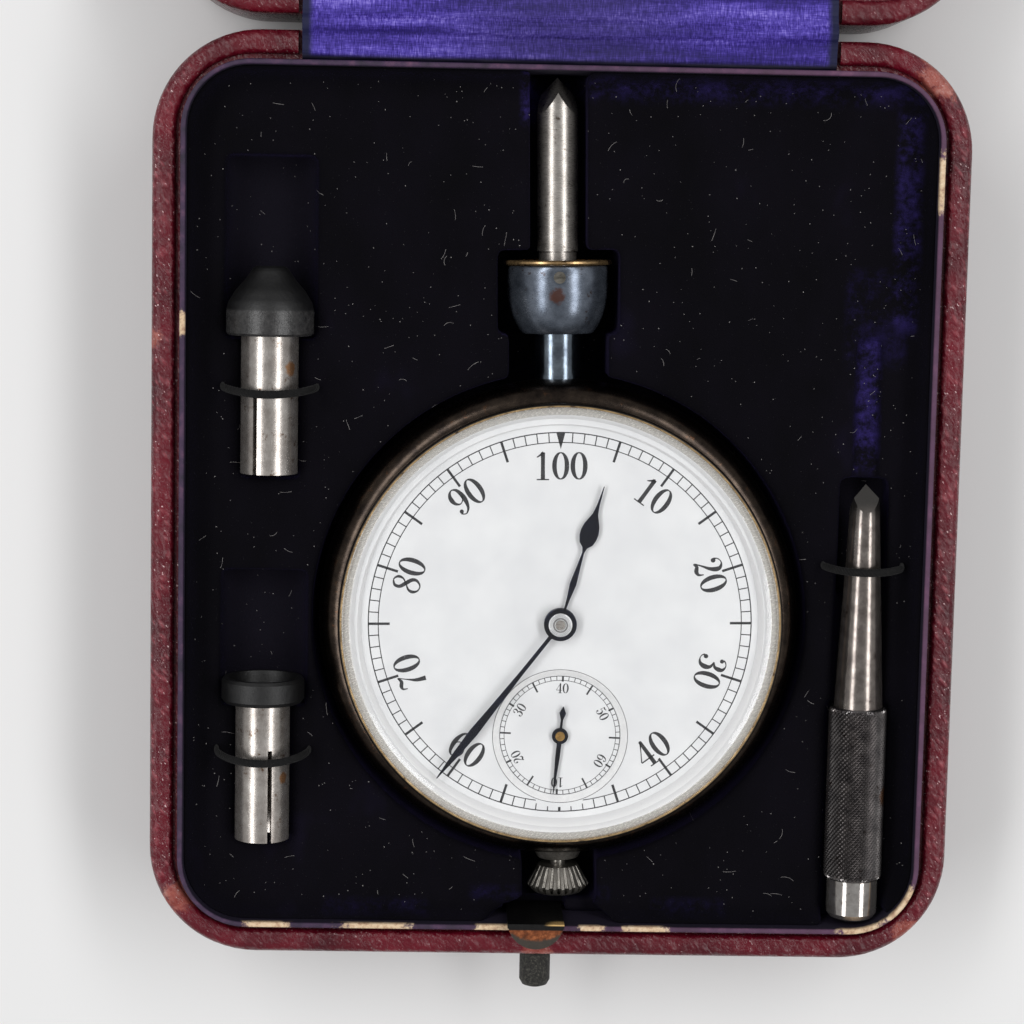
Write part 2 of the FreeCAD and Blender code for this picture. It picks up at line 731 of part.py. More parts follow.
def make_spindle_housing():
    """Neck tube, its bearing bush, the bell-shaped cup with its ring and screw, and the inner bearing."""
    z = axis_height
    cup_end = cup_start + cup_length
    tube_end = cup_end - cup_hollow
    tube = rod(neck_radius, neck_start, tube_end, 0, z)
    save("neck_tube", placed(tube.cut(rod(neck_radius - neck_wall, neck_start - 1, tube_end + 1, 0, z))))
    bush = rod(neck_radius - neck_wall, neck_start + 0.5, tube_end, 0, z)
    bush = bush.cut(rod(spindle_core + shaft_play, neck_start - 1, tube_end + 1, 0, z))
    save("front_bush", placed(bush))
    cup = turned_along(cup_bowl() + [(cup_radius, cup_end), (cup_radius - 1.0, cup_end),
                                     (cup_radius - 1.0, tube_end), (neck_radius, tube_end),
                                     (neck_radius, cup_start)], 0, z)
    screw_y = cup_end - 1.5
    cup = cup.cut(disc(0.5, z + cup_radius - 2, z + cup_radius + 1, 0, screw_y))
    save("collar_cup", placed(cup))
    ring_end = cup_end + ring_thickness
    ring = turned_along([(cup_radius - 1.6, cup_end), (ring_radius - 0.2, cup_end),
                         (ring_radius, cup_end + 0.2), (ring_radius, ring_end - 0.15),
                         (ring_radius - 0.2, ring_end), (cup_radius - 1.6, ring_end)], 0, z)
    save("collar_ring", placed(ring))
    top = z + cup_radius
    head = disc(0.75, top, top + 0.45, 0, screw_y)
    slot = block(-1, 1, screw_y - 0.12, screw_y + 0.12, top + 0.2, top + 1)
    save("collar_screw", placed(head.cut(slot).fuse(disc(0.45, top - 0.9, top + 0.1, 0, screw_y))))
    bracket = block(-bracket_width / 2, bracket_width / 2, bracket_from, bracket_to,
                    back_plate_z + plate_thickness, z + 1.9)
    seat = rod(shaft_radius + shaft_play, bracket_from + bracket_wall, bracket_to + 1, 0, z)
    save("end_bearing", placed(bracket.cut(seat)))
    ball_y = bracket_from + bracket_wall + ball_radius
    save("thrust_ball", placed(Part.makeSphere(ball_radius, V(0, ball_y, z))))


def three_sided_point(radius, start, end, x, z, first_turn):
    """What grinding takes off a round bar's end to leave three facets, one at first_turn from the top."""
    slope = math.atan2(radius, end - start)
    cutters = []
    for turn in (first_turn, first_turn + 120, first_turn + 240):
        cutter = block(-20, 20, start - 20, end + 20, 0, 20)
        cutter.rotate(V(0, end, 0), RIGHT, -math.degrees(slope))
        cutter.rotate(ORIGIN, BACK, turn)
        cutter.translate(V(x, 0, z))
        cutters.append(cutter)
    return cutters[0].multiFuse(cutters[1:])


def make_spindle():
    """The hard steel spindle with its three-sided point, and the worm on its inner end."""
    z = axis_height
    tube_end = cup_start + cup_length - cup_hollow
    worm_end = worm_place + worm_turns * worm_lead / 2 + 0.8
    point_start = spindle_end - point_length
    outside = turned_along([(0, spindle_start), (spindle_radius, spindle_start),
                            (spindle_radius, point_start), (spindle_radius * 0.8, spindle_end),
                            (0, spindle_end)], 0, z)
    outside = outside.cut(three_sided_point(spindle_radius, point_start, spindle_end, 0, z, 60))
    shoulder = rod(spindle_radius - 0.2, tube_end + 0.2, spindle_start - 0.15, 0, z)
    waist = rod(spindle_radius - 0.5, spindle_start - 0.3, spindle_start + 0.1, 0, z)
    core = rod(spindle_core, worm_end, tube_end + 0.4, 0, z)
    pivot_end = bracket_from + bracket_wall + 2 * ball_radius
    tail = rod(shaft_radius, pivot_end, worm_end + 0.2, 0, z)
    save("spindle_shaft", placed(outside.fuse([waist, shoulder, core, tail]).removeSplitter()))
    save("worm", placed(worm(worm_place - worm_end + 0.8, z)))


def worm(back_half, z):
    """A single-start worm of worm_turns turns, centred on worm_place."""
    outer = worm_pitch_radius + worm_lead_module
    root = worm_pitch_radius - worm_lead_module * dedendum + 0.05
    length = -2 * back_half
    start = worm_place - length / 2
    body = rod(root, start - 0.6, start + length + 0.6, 0, z)
    foot = root - thread_sink
    helix = Part.makeHelix(worm_lead, length, foot)
    root_half = worm_lead * 0.30
    tip_half = worm_lead * 0.11
    corners = [(foot, -root_half), (outer, -tip_half), (outer, tip_half), (foot, root_half)]
    section = Part.makePolygon([V(r, 0, along) for r, along in corners + corners[:1]])
    thread = Part.Wire(helix).makePipeShell([section], True, True)
    thread.rotate(ORIGIN, RIGHT, -90)
    thread.translate(V(0, start, z))
    bore = rod(shaft_radius, start - 2, start + length + 2, 0, z)
    return body.fuse(thread).cut(bore)


def crown_flute(start, rim, end):
    """One flute's cutter: it widens up the flare to the rim and fades out over the domed end."""
    top = V(crown_neck + flute_rise, start + 0.2, 0)
    edge = V(crown_radius + flute_rise, rim, 0)
    heart = V(crown_radius - 1.8, end - flute_rise, 0)
    flare = Part.makeCone(flute_radius * 0.6, flute_radius, (edge - top).Length, top, edge - top)
    dome = Part.makeCone(flute_radius, flute_radius * 0.3, (heart - edge).Length, edge, heart - edge)
    return flare.fuse([dome, Part.makeSphere(flute_radius, edge)])


def make_crown():
    """The fluted setting crown on its stem, and the pendant bush they turn in."""
    z = axis_height
    start = -crown_start
    end = start - crown_length
    rim = start - crown_rim
    crown = turned_along([(0, start), (crown_neck, start), (crown_radius - 0.2, rim + 0.4),
                          (crown_radius, rim), (crown_radius - 0.2, rim - 0.4),
                          (crown_radius - 0.8, end + 0.35), (crown_radius - 1.8, end + 0.1),
                          (crown_radius - 3.0, end), (0, end)], 0, z)
    for i in range(crown_flutes):
        flute = crown_flute(start, rim, end)
        flute.rotate(ORIGIN, BACK, 360.0 * i / crown_flutes)
        flute.translate(V(0, 0, z))
        crown = crown.cut(flute)
    save("crown", placed(crown.cut(rod(stem_radius, start - 2.0, start + 1, 0, z))))
    save("crown_stem", placed(rod(stem_radius, start - 2.0, -stem_end, 0, z)))
    pendant_end = -pendant_start - pendant_length
    bush = turned_along([(stem_radius + 0.7, -band_bore), (stem_radius + 0.7, -pendant_start),
                         (pendant_radius - 0.4, -pendant_start), (pendant_radius, -pendant_start - 0.7),
                         (pendant_radius - 0.6, pendant_end), (stem_radius + 0.1, pendant_end),
                         (stem_radius + 0.1, -band_bore)], 0, z)
    band = turned(band_profile()).cut(rod(stem_radius + 0.7, -band_radius - 2, 0, 0, z))
    save("stem_bush", placed(bush.cut(band)))


# ---- wheels ------------------------------------------------------------------------------------
def toothed(teeth, module, addendum, thickness_share, phase, bottom, top, x, y):
    """A wheel or pinion with straight-sided teeth; phase, in degrees, is the middle of one tooth."""
    pitch = teeth * module / 2
    tip = pitch + module * addendum
    root = pitch - module * dedendum
    step = 2 * math.pi / teeth
    half = step * thickness_share / 2
    outline = []
    for i in range(teeth):
        middle = math.radians(phase) + step * i
        for radius, share in ((root, -1.25), (tip, -0.45), (tip, 0.45), (root, 1.25)):
            angle = middle + share * half
            outline.append((x + radius * math.cos(angle), y + radius * math.sin(angle)))
    return plate_of(outline, bottom, top)


def reduction_place():
    """The reduction arbor's place, meshing with the centre pinion."""
    return polar(fine_module * (leaf_teeth + reduction_teeth) / 2, reduction_direction)


def idler_place():
    """The idler stud's place, meshing with the upper centre pinion."""
    return polar(fine_module * (leaf_teeth + motion_teeth) / 2, idler_direction)


def meshing_phase(direction, teeth):
    """The phase of a wheel that has a gap facing back along direction."""
    return direction + 180 + 180.0 / teeth


def make_first_wheel():
    """The worm wheel and its pinion on one arbor."""
    x, y = worm_wheel_x, worm_place
    middle = axis_height
    bottom = middle - worm_wheel_thickness / 2
    wheel = toothed(worm_wheel_teeth, worm_lead_module, wheel_addendum, 0.40,
                    meshing_phase(0, worm_wheel_teeth), bottom, bottom + worm_wheel_thickness, x, y)
    save("worm_wheel", placed(wheel.cut(disc(arbor_radius, bottom - 1, bottom + 3, x, y))))
    direction = math.degrees(math.atan2(-y, -x))
    pinion = toothed(train_pinion_teeth, train_module, leaf_addendum, 0.40, direction,
                     centre_z - 0.05, centre_z + wheel_thickness + 0.05, x, y)
    arbor = disc(arbor_radius, back_plate_z + plate_thickness + 0.2, main_plate_z - 0.15, x, y)
    pivots = disc(pivot_radius, back_plate_z + 0.1, main_plate_z + plate_thickness - 0.1, x, y)
    save("first_arbor", placed(pinion.fuse([arbor, pivots]).removeSplitter()))


def make_centre():
    """The centre arbor with its two pinions, its wheel and the long hand with its cap."""
    mate = math.degrees(math.atan2(worm_place, worm_wheel_x))
    wheel = toothed(centre_teeth, train_module, wheel_addendum, 0.40,
                    meshing_phase(mate + 180, centre_teeth), centre_z, centre_z + wheel_thickness, 0, 0)
    save("centre_wheel", placed(wheel.cut(disc(arbor_radius, centre_z - 1, centre_z + 2))))
    lower = toothed(leaf_teeth, fine_module, leaf_addendum, 0.40, reduction_direction,
                    reduction_z - 0.05, reduction_z + wheel_thickness + 0.05, 0, 0)
    upper = toothed(leaf_teeth, fine_module, leaf_addendum, 0.40, idler_direction,
                    idler_z - 0.05, idler_z + thin_wheel + 0.05, 0, 0)
    arbor = disc(arbor_radius, back_plate_z + plate_thickness + 0.1, cap_z + 0.35)
    pivot = disc(pivot_radius, back_plate_z + 0.1, back_plate_z + 2)
    save("centre_arbor", placed(lower.fuse([upper, arbor, pivot]).removeSplitter()))
    save("count_hand", placed(hand(lance_outline(), hand_boss, count_hand_angle, count_hand_z, 0, 0)))
    cap = washer(1.5, arbor_radius, cap_z, cap_z + 0.25)
    save("hand_cap", placed(cap.makeFillet(0.12, outer_edge(cap, 1.5, cap_z + 0.25))))


def outer_edge(shape, radius, height):
    """The round edge of one radius at one height."""
    return [e for e in edges_at(shape, height) if abs(e.BoundBox.XLength - 2 * radius) < 1e-3]


def lance_outline():
    """The long hand: a slim lance, widest two thirds of the way out."""
    length = count_hand_length
    right = [(0.24, 1.5), (0.26, length * 0.30), (0.42, length * 0.55), (0.56, length * 0.70),
             (0.40, length * 0.84), (0.06, length)]
    return right + [(-x, y) for x, y in reversed(right)]


def pear_outline():
    """The short hand: a stem that swells once, a pear-shaped bulb and a needle end."""
    length = hundreds_hand_length
    stem = [(0.12, 1.7), (0.20, length * 0.18), (0.42, length * 0.29), (0.24, length * 0.42),
            (0.13, length * 0.52), (0.30, length * 0.555)]
    bulb = [(0.86, length * 0.585), (1.12, length * 0.63), (1.16, length * 0.67), (0.98, length * 0.72),
            (0.62, length * 0.765), (0.34, length * 0.80), (0.18, length * 0.86), (0.05, length)]
    right = stem + bulb
    return right + [(-x, y) for x, y in reversed(right)]


def leaf_outline():
    """The small hand: a long needle, and a short tail that ends in a leaf."""
    length = small_hand_length
    tail = 3.8
    right = [(0.34, -0.9), (0.30, 0), (0.28, length * 0.4), (0.05, length)]
    left_tail = [(0.16, -1.0), (0.14, -tail * 0.55), (0.42, -tail * 0.78), (0.04, -tail)]
    sides = list(reversed(left_tail)) + right
    return sides + [(-x, y) for x, y in reversed(sides)]


def hand(outline, boss, angle, bottom, x, y):
    """A flat hand with a round boss, turned clockwise from the top of the dial."""
    blade = plate_of(outline, bottom, bottom + hand_thickness)
    shape = blade.fuse(disc(boss, bottom, bottom + hand_thickness)).removeSplitter()
    shape = shape.cut(disc(arbor_radius, bottom - 1, bottom + 2))
    shape.rotate(ORIGIN, UP, -angle)
    shape.translate(V(x, y, 0))
    return shape


def make_reduction():
    """The reduction wheel and its pinion on one arbor."""
    x, y = reduction_place()
    wheel = toothed(reduction_teeth, fine_module, wheel_addendum, 0.40,
                    meshing_phase(reduction_direction, reduction_teeth),
                    reduction_z, reduction_z + wheel_thickness, x, y)
    save("reduction_wheel", placed(wheel.cut(disc(arbor_radius, reduction_z - 1, reduction_z + 2, x, y))))
    pinion = toothed(leaf_teeth, register_module, leaf_addendum, 0.40, register_direction(),
                     register_z - 0.05, register_z + wheel_thickness + 0.05, x, y)
    arbor = disc(arbor_radius, back_plate_z + plate_thickness + 0.1, main_plate_z - 0.15, x, y)
    pivots = disc(pivot_radius, back_plate_z + 0.1, main_plate_z + plate_thickness - 0.1, x, y)
    save("reduction_arbor", placed(pinion.fuse([arbor, pivots]).removeSplitter()))


def register_direction():
    """The direction from the reduction arbor to the small dial's middle."""
    x, y = reduction_place()
    return math.degrees(math.atan2(-sub_offset - y, -x))


def make_register():
    """The small dial's wheel, arbor and hand."""
    y = -sub_offset
    wheel = toothed(register_teeth, register_module, wheel_addendum, 0.40,
                    meshing_phase(register_direction(), register_teeth),
                    register_z, register_z + wheel_thickness, 0, y)
    arbor = disc(arbor_radius, back_plate_z + plate_thickness + 0.1, sub_top + 0.75, 0, y)
    pivot = disc(pivot_radius, back_plate_z + 0.1, back_plate_z + 2, 0, y)
    save("register_wheel", placed(wheel.fuse([arbor, pivot]).removeSplitter()))
    save("small_hand", placed(hand(leaf_outline(), 1.03, small_hand_angle, sub_top + hand_gap, 0, y)))


def make_motion_work():
    """The idler on its stud, and the hundreds wheel on its pipe with the short hand."""
    x, y = idler_place()
    wheel = toothed(motion_teeth, fine_module, wheel_addendum, 0.40,
                    meshing_phase(idler_direction, motion_teeth), idler_z, idler_z + thin_wheel, x, y)
    pinion = toothed(leaf_teeth, fine_module, leaf_addendum, 0.40, idler_direction + 180,
                     idler_z + thin_wheel, hundreds_z + thin_wheel + 0.05, x, y)
    hole = disc(pivot_radius + shaft_play, idler_z - 1, hundreds_z + 2, x, y)
    save("idler_wheel", placed(wheel.fuse(pinion).cut(hole).removeSplitter()))
    hundreds = toothed(motion_teeth, fine_module, wheel_addendum, 0.40,
                       meshing_phase(idler_direction + 180, motion_teeth),
                       hundreds_z, hundreds_z + thin_wheel, 0, 0)
    pipe = disc(pipe_radius, hundreds_z, hundreds_hand_z + hand_thickness)
    bore = disc(pipe_bore, hundreds_z - 1, hundreds_hand_z + 2)
    save("hundreds_wheel", placed(hundreds.fuse(pipe).cut(bore).removeSplitter()))
    pear = plate_of(pear_outline(), hundreds_hand_z, hundreds_hand_z + hand_thickness)
    boss = disc(hand_boss, hundreds_hand_z, hundreds_hand_z + hand_thickness)
    eye = disc(pipe_radius, hundreds_hand_z - 1, hundreds_hand_z + 2)
    short = pear.fuse(boss).removeSplitter().cut(eye)
    short.rotate(ORIGIN, UP, -hundreds_hand_angle)
    save("hundreds_hand", placed(short))


# ---- accessories -------------------------------------------------------------------------------
def split_sleeve(x, back, length, radius, slot_length, slot_angle):
    """A thin spring sleeve, bored from its back end and split along part of it."""
    sleeve = rod(radius, back, back + length, x, rest_z)
    sleeve = sleeve.cut(rod(tip_bore, back - 1, back + tip_bore_depth, x, rest_z))
    slot = block(-slot_width / 2, slot_width / 2, back - 1, back + slot_length, 0, radius + 1)
    slot.rotate(ORIGIN, BACK, slot_angle)
    slot.translate(V(x, 0, rest_z))
    return sleeve.cut(slot)


def make_tips():
    """The two slip-on tips: a rubber cone and a rubber cup, each on a split sleeve."""
    front = cone_back + cone_sleeve_length
    neck = 2.2
    cone_sleeve = split_sleeve(cone_x, cone_back, cone_sleeve_length, cone_sleeve_radius,
                               cone_slot_length, cone_slot_angle)
    stub = rod(neck, front - 0.5, front + 4, cone_x, rest_z)
    save("cone_sleeve", cone_sleeve.fuse(stub).removeSplitter())
    tip = front + cone_rubber_length
    r = cone_rubber_radius
    cone = turned_along([(0, front), (r - 0.3, front), (r, front + 0.3), (r, tip - 5.6),
                         (r - 0.25, tip - 4.5), (r - 1.1, tip - 3.1), (r - 2.4, tip - 1.6),
                         (r - 3.3, tip - 0.25), (r - 3.7, tip), (0, tip)], cone_x, rest_z)
    save("cone_rubber", cone.cut(rod(neck, front - 1, front + 4, cone_x, rest_z)))
    front = cup_tip_back + cup_sleeve_length
    cup_sleeve = split_sleeve(cup_tip_x, cup_tip_back, cup_sleeve_length, cup_sleeve_radius,
                              cup_slot_length, cup_slot_angle)
    stub = rod(neck, front - 0.5, front + 0.8, cup_tip_x, rest_z)
    save("cup_sleeve", cup_sleeve.fuse(stub).removeSplitter())
    lip = front + cup_rubber_length
    r = cup_rubber_radius
    cup = turned_along([(0, front), (r - 0.4, front), (r, front + 0.5), (r, lip - 0.4), (r - 0.3, lip),
                        (r - 0.9, lip), (r - 1.3, lip - cup_rubber_hollow), (0, lip - cup_rubber_hollow)],
                       cup_tip_x, rest_z)
    save("cup_rubber", cup.cut(rod(neck, front - 1, front + 0.8, cup_tip_x, rest_z)))


def probe_radius_at(y):
    """The probe's radius along its taper."""
    share = (probe_point_y - y) / (probe_point_y - probe_taper_end)
    return probe_tip_radius + (probe_rod_radius - probe_tip_radius) * share


def make_probe():
    """The pointed extension: a tapered steel rod, a knurled grip and a polished end."""
    core = 2.2
    tang = probe_taper_end - 10
    rod_shape = turned_along([(0, tang), (core, tang), (core, probe_taper_end),
                              (probe_rod_radius, probe_taper_end), (probe_tip_radius, probe_point_y),
                              (0, probe_point_y)], probe_x, rest_z)
    point = three_sided_point(probe_tip_radius, probe_point_y - probe_facet, probe_point_y,
                              probe_x, rest_z, 0)
    save("probe_rod", rod_shape.cut(point))
    r = grip_radius
    grip = turned_along([(0, grip_end), (r - 0.5, grip_end), (r, grip_end + 0.5),
                         (r, probe_taper_end - 0.5), (r - 0.5, probe_taper_end), (0, probe_taper_end)],
                        probe_x, rest_z)
    grip = grip.cut(rod(core, tang, probe_taper_end + 1, probe_x, rest_z))
    save("probe_grip", grip.cut(rod(core, grip_end - 1, grip_end + 4, probe_x, rest_z)))
    r = probe_end_radius
    end = turned_along([(0, probe_back), (r - 1.2, probe_back), (r - 0.4, probe_back + 0.4),
                        (r, probe_back + 1), (r, grip_end), (core, grip_end), (core, grip_end + 4),
                        (0, grip_end + 4)], probe_x, rest_z)
    save("probe_end", end)


def main():
    """Write every node."""
    os.makedirs(OUT, exist_ok=True)
    make_case()
    make_lid()
    make_velvet()
    make_latch()
    make_counter_shell()
    make_dials()
    make_plates()
    make_spindle_housing()
    make_spindle()
    make_crown()
    make_first_wheel()
    make_centre()
    make_reduction()
    make_register()
    make_motion_work()
    make_tips()
    make_probe()


main()
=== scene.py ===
"""Finish of the pocket revolution counter in its fitted case: surfaces, velvet, satin, dial work, light.

The origin is the middle of the case's underside: +Y from the push latch to the hinge, +Z up. Sizes and places
of the object are in millimetres, and MM turns them into metres. Camera, lamps and floor are placed in metres.
"""
import bpy
import math
import random
from mathutils import Matrix, Vector, noise
from mathutils.bvhtree import BVHTree


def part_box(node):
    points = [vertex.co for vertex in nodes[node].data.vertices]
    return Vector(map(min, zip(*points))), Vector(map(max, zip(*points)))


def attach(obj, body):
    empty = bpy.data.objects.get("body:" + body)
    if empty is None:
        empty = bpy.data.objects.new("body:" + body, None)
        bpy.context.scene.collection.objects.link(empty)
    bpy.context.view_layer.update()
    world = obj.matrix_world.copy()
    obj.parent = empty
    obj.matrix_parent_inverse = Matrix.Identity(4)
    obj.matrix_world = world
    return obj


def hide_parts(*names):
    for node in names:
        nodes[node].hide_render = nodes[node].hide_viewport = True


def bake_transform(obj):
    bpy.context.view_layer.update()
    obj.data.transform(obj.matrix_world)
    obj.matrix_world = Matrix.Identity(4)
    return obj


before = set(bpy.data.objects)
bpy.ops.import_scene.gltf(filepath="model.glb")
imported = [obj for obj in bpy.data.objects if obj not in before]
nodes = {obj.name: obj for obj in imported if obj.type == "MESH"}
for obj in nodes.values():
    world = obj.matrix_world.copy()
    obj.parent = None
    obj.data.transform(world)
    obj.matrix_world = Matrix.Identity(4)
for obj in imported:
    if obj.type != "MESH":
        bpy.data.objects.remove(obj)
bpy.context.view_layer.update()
MM = 0.001

# ---- places and sizes of the real pieces, in millimetres ----------------------------------------------
def corners(name):
    """The lowest and highest corner of a node, in millimetres."""
    low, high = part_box(name)
    return [c / MM for c in low], [c / MM for c in high]


def middle(name):
    """The centre of a node's box, in millimetres."""
    low, high = corners(name)
    return [(a + b) / 2 for a, b in zip(low, high)]


HUB = middle("hand_cap")[:2]
SUB_HUB = middle("sub_dial")[:2]
DIAL_TOP = corners("dial")[1][2]
SUB_TOP = corners("sub_dial")[1][2]
DIAL_TURN = 1.0          # how far each dial's print is turned, in degrees
SUB_TURN = -1.8
PAD_TOP = corners("velvet_pad")[1][2]
LIP_TOP = corners("base_lip")[1][2]
PROBE_X = middle("probe_rod")[0]
OPENING = 8.45           # radius of the dial's opening over the small dial
LATCH_TRAVEL = 0.65      # how far the blade slides when the button is pushed
INK_LIFT = 0.012         # how far print stands above its dial
CREASE = 35              # turned pieces keep the edges that bend more than this, in degrees


# ---- materials ----------------------------------------------------------------------------------------
def tint(red, green, blue):
    """A colour given as 0 to 255 on a screen, as the linear colour a shader takes."""
    def linear(level):
        share = level / 255
        return share / 12.92 if share <= 0.04045 else ((share + 0.055) / 1.055) ** 2.4
    return (linear(red), linear(green), linear(blue), 1.0)


class Paint:
    """A node material while it is put together. Lengths are in millimetres."""

    def __init__(self, name, slot):
        self.material = bpy.data.materials.new(name)
        self.material.use_nodes = True
        self.tree = self.material.node_tree
        self.shader = self.tree.nodes["Principled BSDF"]
        self.slot = slot
        self.place = self.add("ShaderNodeTexCoord").outputs["Object"]

    def add(self, kind, sockets=(), **settings):
        """A new node, with its settings and a link or a constant in each named socket."""
        node = self.tree.nodes.new(kind)
        for key, value in settings.items():
            setattr(node, key, value)
        for key, value in dict(sockets).items():
            self.feed(node.inputs[key], value)
        return node

    def feed(self, socket, value):
        """A link or a constant into a socket."""
        if isinstance(value, bpy.types.NodeSocket):
            self.tree.links.new(value, socket)
        else:
            socket.default_value = value

    def set(self, **values):
        """Sockets of the surface shader, with spaces written as underscores."""
        for key, value in values.items():
            self.feed(self.shader.inputs[key.replace("_", " ")], value)

    def space(self, stretch=(1, 1, 1), turn=(0, 0, 0)):
        """The surface's own coordinates, turned by degrees and stretched."""
        turned = [math.radians(angle) for angle in turn]
        sockets = {"Vector": self.place, "Scale": stretch, "Rotation": turned}
        return self.add("ShaderNodeMapping", sockets, vector_type="TEXTURE").outputs["Vector"]

    def noise(self, size, detail=2.0, roughness=0.5, where=None):
        """Cloudy variation with features about size across."""
        sockets = {"Vector": where or self.place, "Scale": 1 / (size * MM), "Detail": detail,
                   "Roughness": roughness}
        return self.add("ShaderNodeTexNoise", sockets).outputs["Fac"]

    def cells(self, size, where):
        """Softened distance to the nearest of scattered points size apart."""
        sockets = {"Vector": where, "Scale": 1 / (size * MM)}
        return self.add("ShaderNodeTexVoronoi", sockets, feature="SMOOTH_F1").outputs["Distance"]

    def wave(self, size, distortion):
        """Slanting stripes about size apart."""
        stripes_in_texture = 0.314
        sockets = {"Vector": self.place, "Scale": stripes_in_texture / (size * MM), "Distortion": distortion,
                   "Detail": 1.0}
        return self.add("ShaderNodeTexWave", sockets, bands_direction="DIAGONAL").outputs["Fac"]

    def ramp(self, value, *stops):
        """A value turned into a colour or a level by stops of (position, colour or level)."""
        node = self.add("ShaderNodeValToRGB", {"Fac": value})
        elements = node.color_ramp.elements
        while len(elements) < len(stops):
            elements.new(0.5)
        for element, (position, colour) in zip(elements, stops):
            element.position = position
            element.color = colour if isinstance(colour, tuple) else (colour, colour, colour, 1)
        return node.outputs["Color"]

    def blend(self, share, first, second):
        """Two colours mixed by a share."""
        first_colour, second_colour, mixed = 6, 7, 2
        sockets = {"Factor": share, first_colour: first, second_colour: second}
        return self.add("ShaderNodeMix", sockets, data_type="RGBA").outputs[mixed]

    def maths(self, operation, first, second=0.0):
        """Arithmetic on two values."""
        return self.add("ShaderNodeMath", {0: first, 1: second}, operation=operation).outputs[0]

    def plus(self, first, second):
        """The sum of two values."""
        return self.maths("ADD", first, second)

    def minus(self, first, second):
        """The first value less the second."""
        return self.maths("SUBTRACT", first, second)

    def times(self, first, second):
        """The product of two values."""
        return self.maths("MULTIPLY", first, second)

    def larger(self, first, second):
        """The larger of two values."""
        return self.maths("MAXIMUM", first, second)

    def absolute(self, value):
        """A value without its sign."""
        return self.maths("ABSOLUTE", value)

    def part(self, axis):
        """One coordinate of the place."""
        return self.times(self.add("ShaderNodeSeparateXYZ", {0: self.place}).outputs[axis], 1 / MM)

    def distance(self, place, spot):
        """Distance, in metres, from a place on the surface to a spot."""
        sockets = {0: place, 1: [s * MM for s in spot]}
        return self.add("ShaderNodeVectorMath", sockets, operation="DISTANCE").outputs["Value"]

    def near(self, spot, reach):
        """1 at a spot, falling to 0 at reach from it."""
        sockets = {"Value": self.distance(self.place, spot), "From Min": reach * MM, "From Max": 0.0}
        return self.add("ShaderNodeMapRange", sockets, clamp=True).outputs["Result"]

    def spots(self, places):
        """1 at any of the (spot, reach) places, falling to 0 at its reach."""
        share = self.near(*places[0])
        for place in places[1:]:
            share = self.larger(share, self.near(*place))
        return share

    def across(self, centre):
        """Distance from an upright axis."""
        flat = self.add("ShaderNodeVectorMath", {0: self.place, 1: (1, 1, 0)}, operation="MULTIPLY")
        return self.times(self.distance(flat.outputs[0], (*centre, 0)), 1 / MM)

    def rings(self, centre, pitch):
        """Turning marks about an upright axis, rising and falling once in each pitch."""
        return self.maths("PINGPONG", self.across(centre), pitch / 2)

    def fade(self, value, start, end):
        """0 below start, 1 above end."""
        sockets = {"Value": value, "From Min": start, "From Max": end}
        return self.add("ShaderNodeMapRange", sockets, clamp=True,
                        interpolation_type="SMOOTHSTEP").outputs["Result"]

    def bump(self, height, depth, previous=None):
        """Relief of the given depth, on top of an earlier one."""
        sockets = {"Height": height, "Distance": depth * MM, "Strength": 1.0}
        if previous is not None:
            sockets["Normal"] = previous
        return self.add("ShaderNodeBump", sockets).outputs["Normal"]


def leather():
    """Grained crimson leathercloth: pebble crowns dulled pink by wear and painted glints, orange at a few
    corners, painted shade low on the walls.
    """
    p = Paint("leather_maroon", "leatherette")
    slant = p.space(stretch=(1.0, 2.3, 1.0), turn=(0, 0, 38))
    pebble = p.cells(0.70, slant)
    crease = p.noise(0.30, 3, 0.6, slant)
    tone = p.noise(9, 4, 0.6)
    base = p.ramp(tone, (0.3, tint(66, 4, 18)), (0.6, tint(98, 10, 28)), (0.8, tint(118, 22, 38)))
    crown = p.ramp(pebble, (0.0, 1.0), (0.35, 0.0))
    # the side beads, where the painted glints are strongest
    side = p.fade(p.absolute(p.part("X")), 44.0, 50.0)
    # pebble crowns go pale pink: a little everywhere for real wear, more on the side beads as painted glints
    wear_and_glint = p.times(crown, p.plus(0.05, p.times(side, 0.30)))
    base = p.blend(wear_and_glint, base, tint(204, 112, 120))
    worn = p.spots([((-1.2, -57.9, 17.6), 4.2), ((46.5, -55.0, 17.0), 5.0), ((47.0, 54.5, 17.5), 7.0),
                    ((-47.0, -51.0, 17.0), 5.0), ((-50.6, 20.0, 17.0), 3.0)])
    ragged = p.fade(p.plus(worn, p.times(p.noise(1.1, 4, 0.7), 0.8)), 0.88, 1.08)
    scuff = p.ramp(p.noise(1.6, 3), (0.35, tint(136, 62, 52)), (0.6, tint(170, 96, 84)),
                   (0.75, tint(196, 146, 134)))
    colour = p.blend(p.times(ragged, 0.8), base, scuff)
    # painted glints: white-pink specks on the grain, most on the side beads
    glint_specks = p.fade(p.noise(0.26, 2, 0.6, slant), 0.67, 0.72)
    glint_specks = p.times(glint_specks, p.plus(0.3, p.times(side, 0.5)))
    colour = p.blend(glint_specks, colour, tint(238, 208, 208))
    # painted shade: the leather darkens low on its walls, towards the floor
    low = p.minus(1.0, p.fade(p.part("Z"), 16.2, 17.5))
    colour = p.blend(p.times(low, 0.35), colour, tint(50, 14, 22))
    relief = p.bump(p.plus(p.times(pebble, -1.0), p.times(crease, 0.5)), 0.26)
    relief = p.bump(p.noise(4, 2), 0.2, relief)
    p.set(Base_Color=colour, Normal=relief, Specular_IOR_Level=0.42,
          Roughness=p.ramp(crease, (0.3, 0.16), (0.7, 0.34)))
    return p


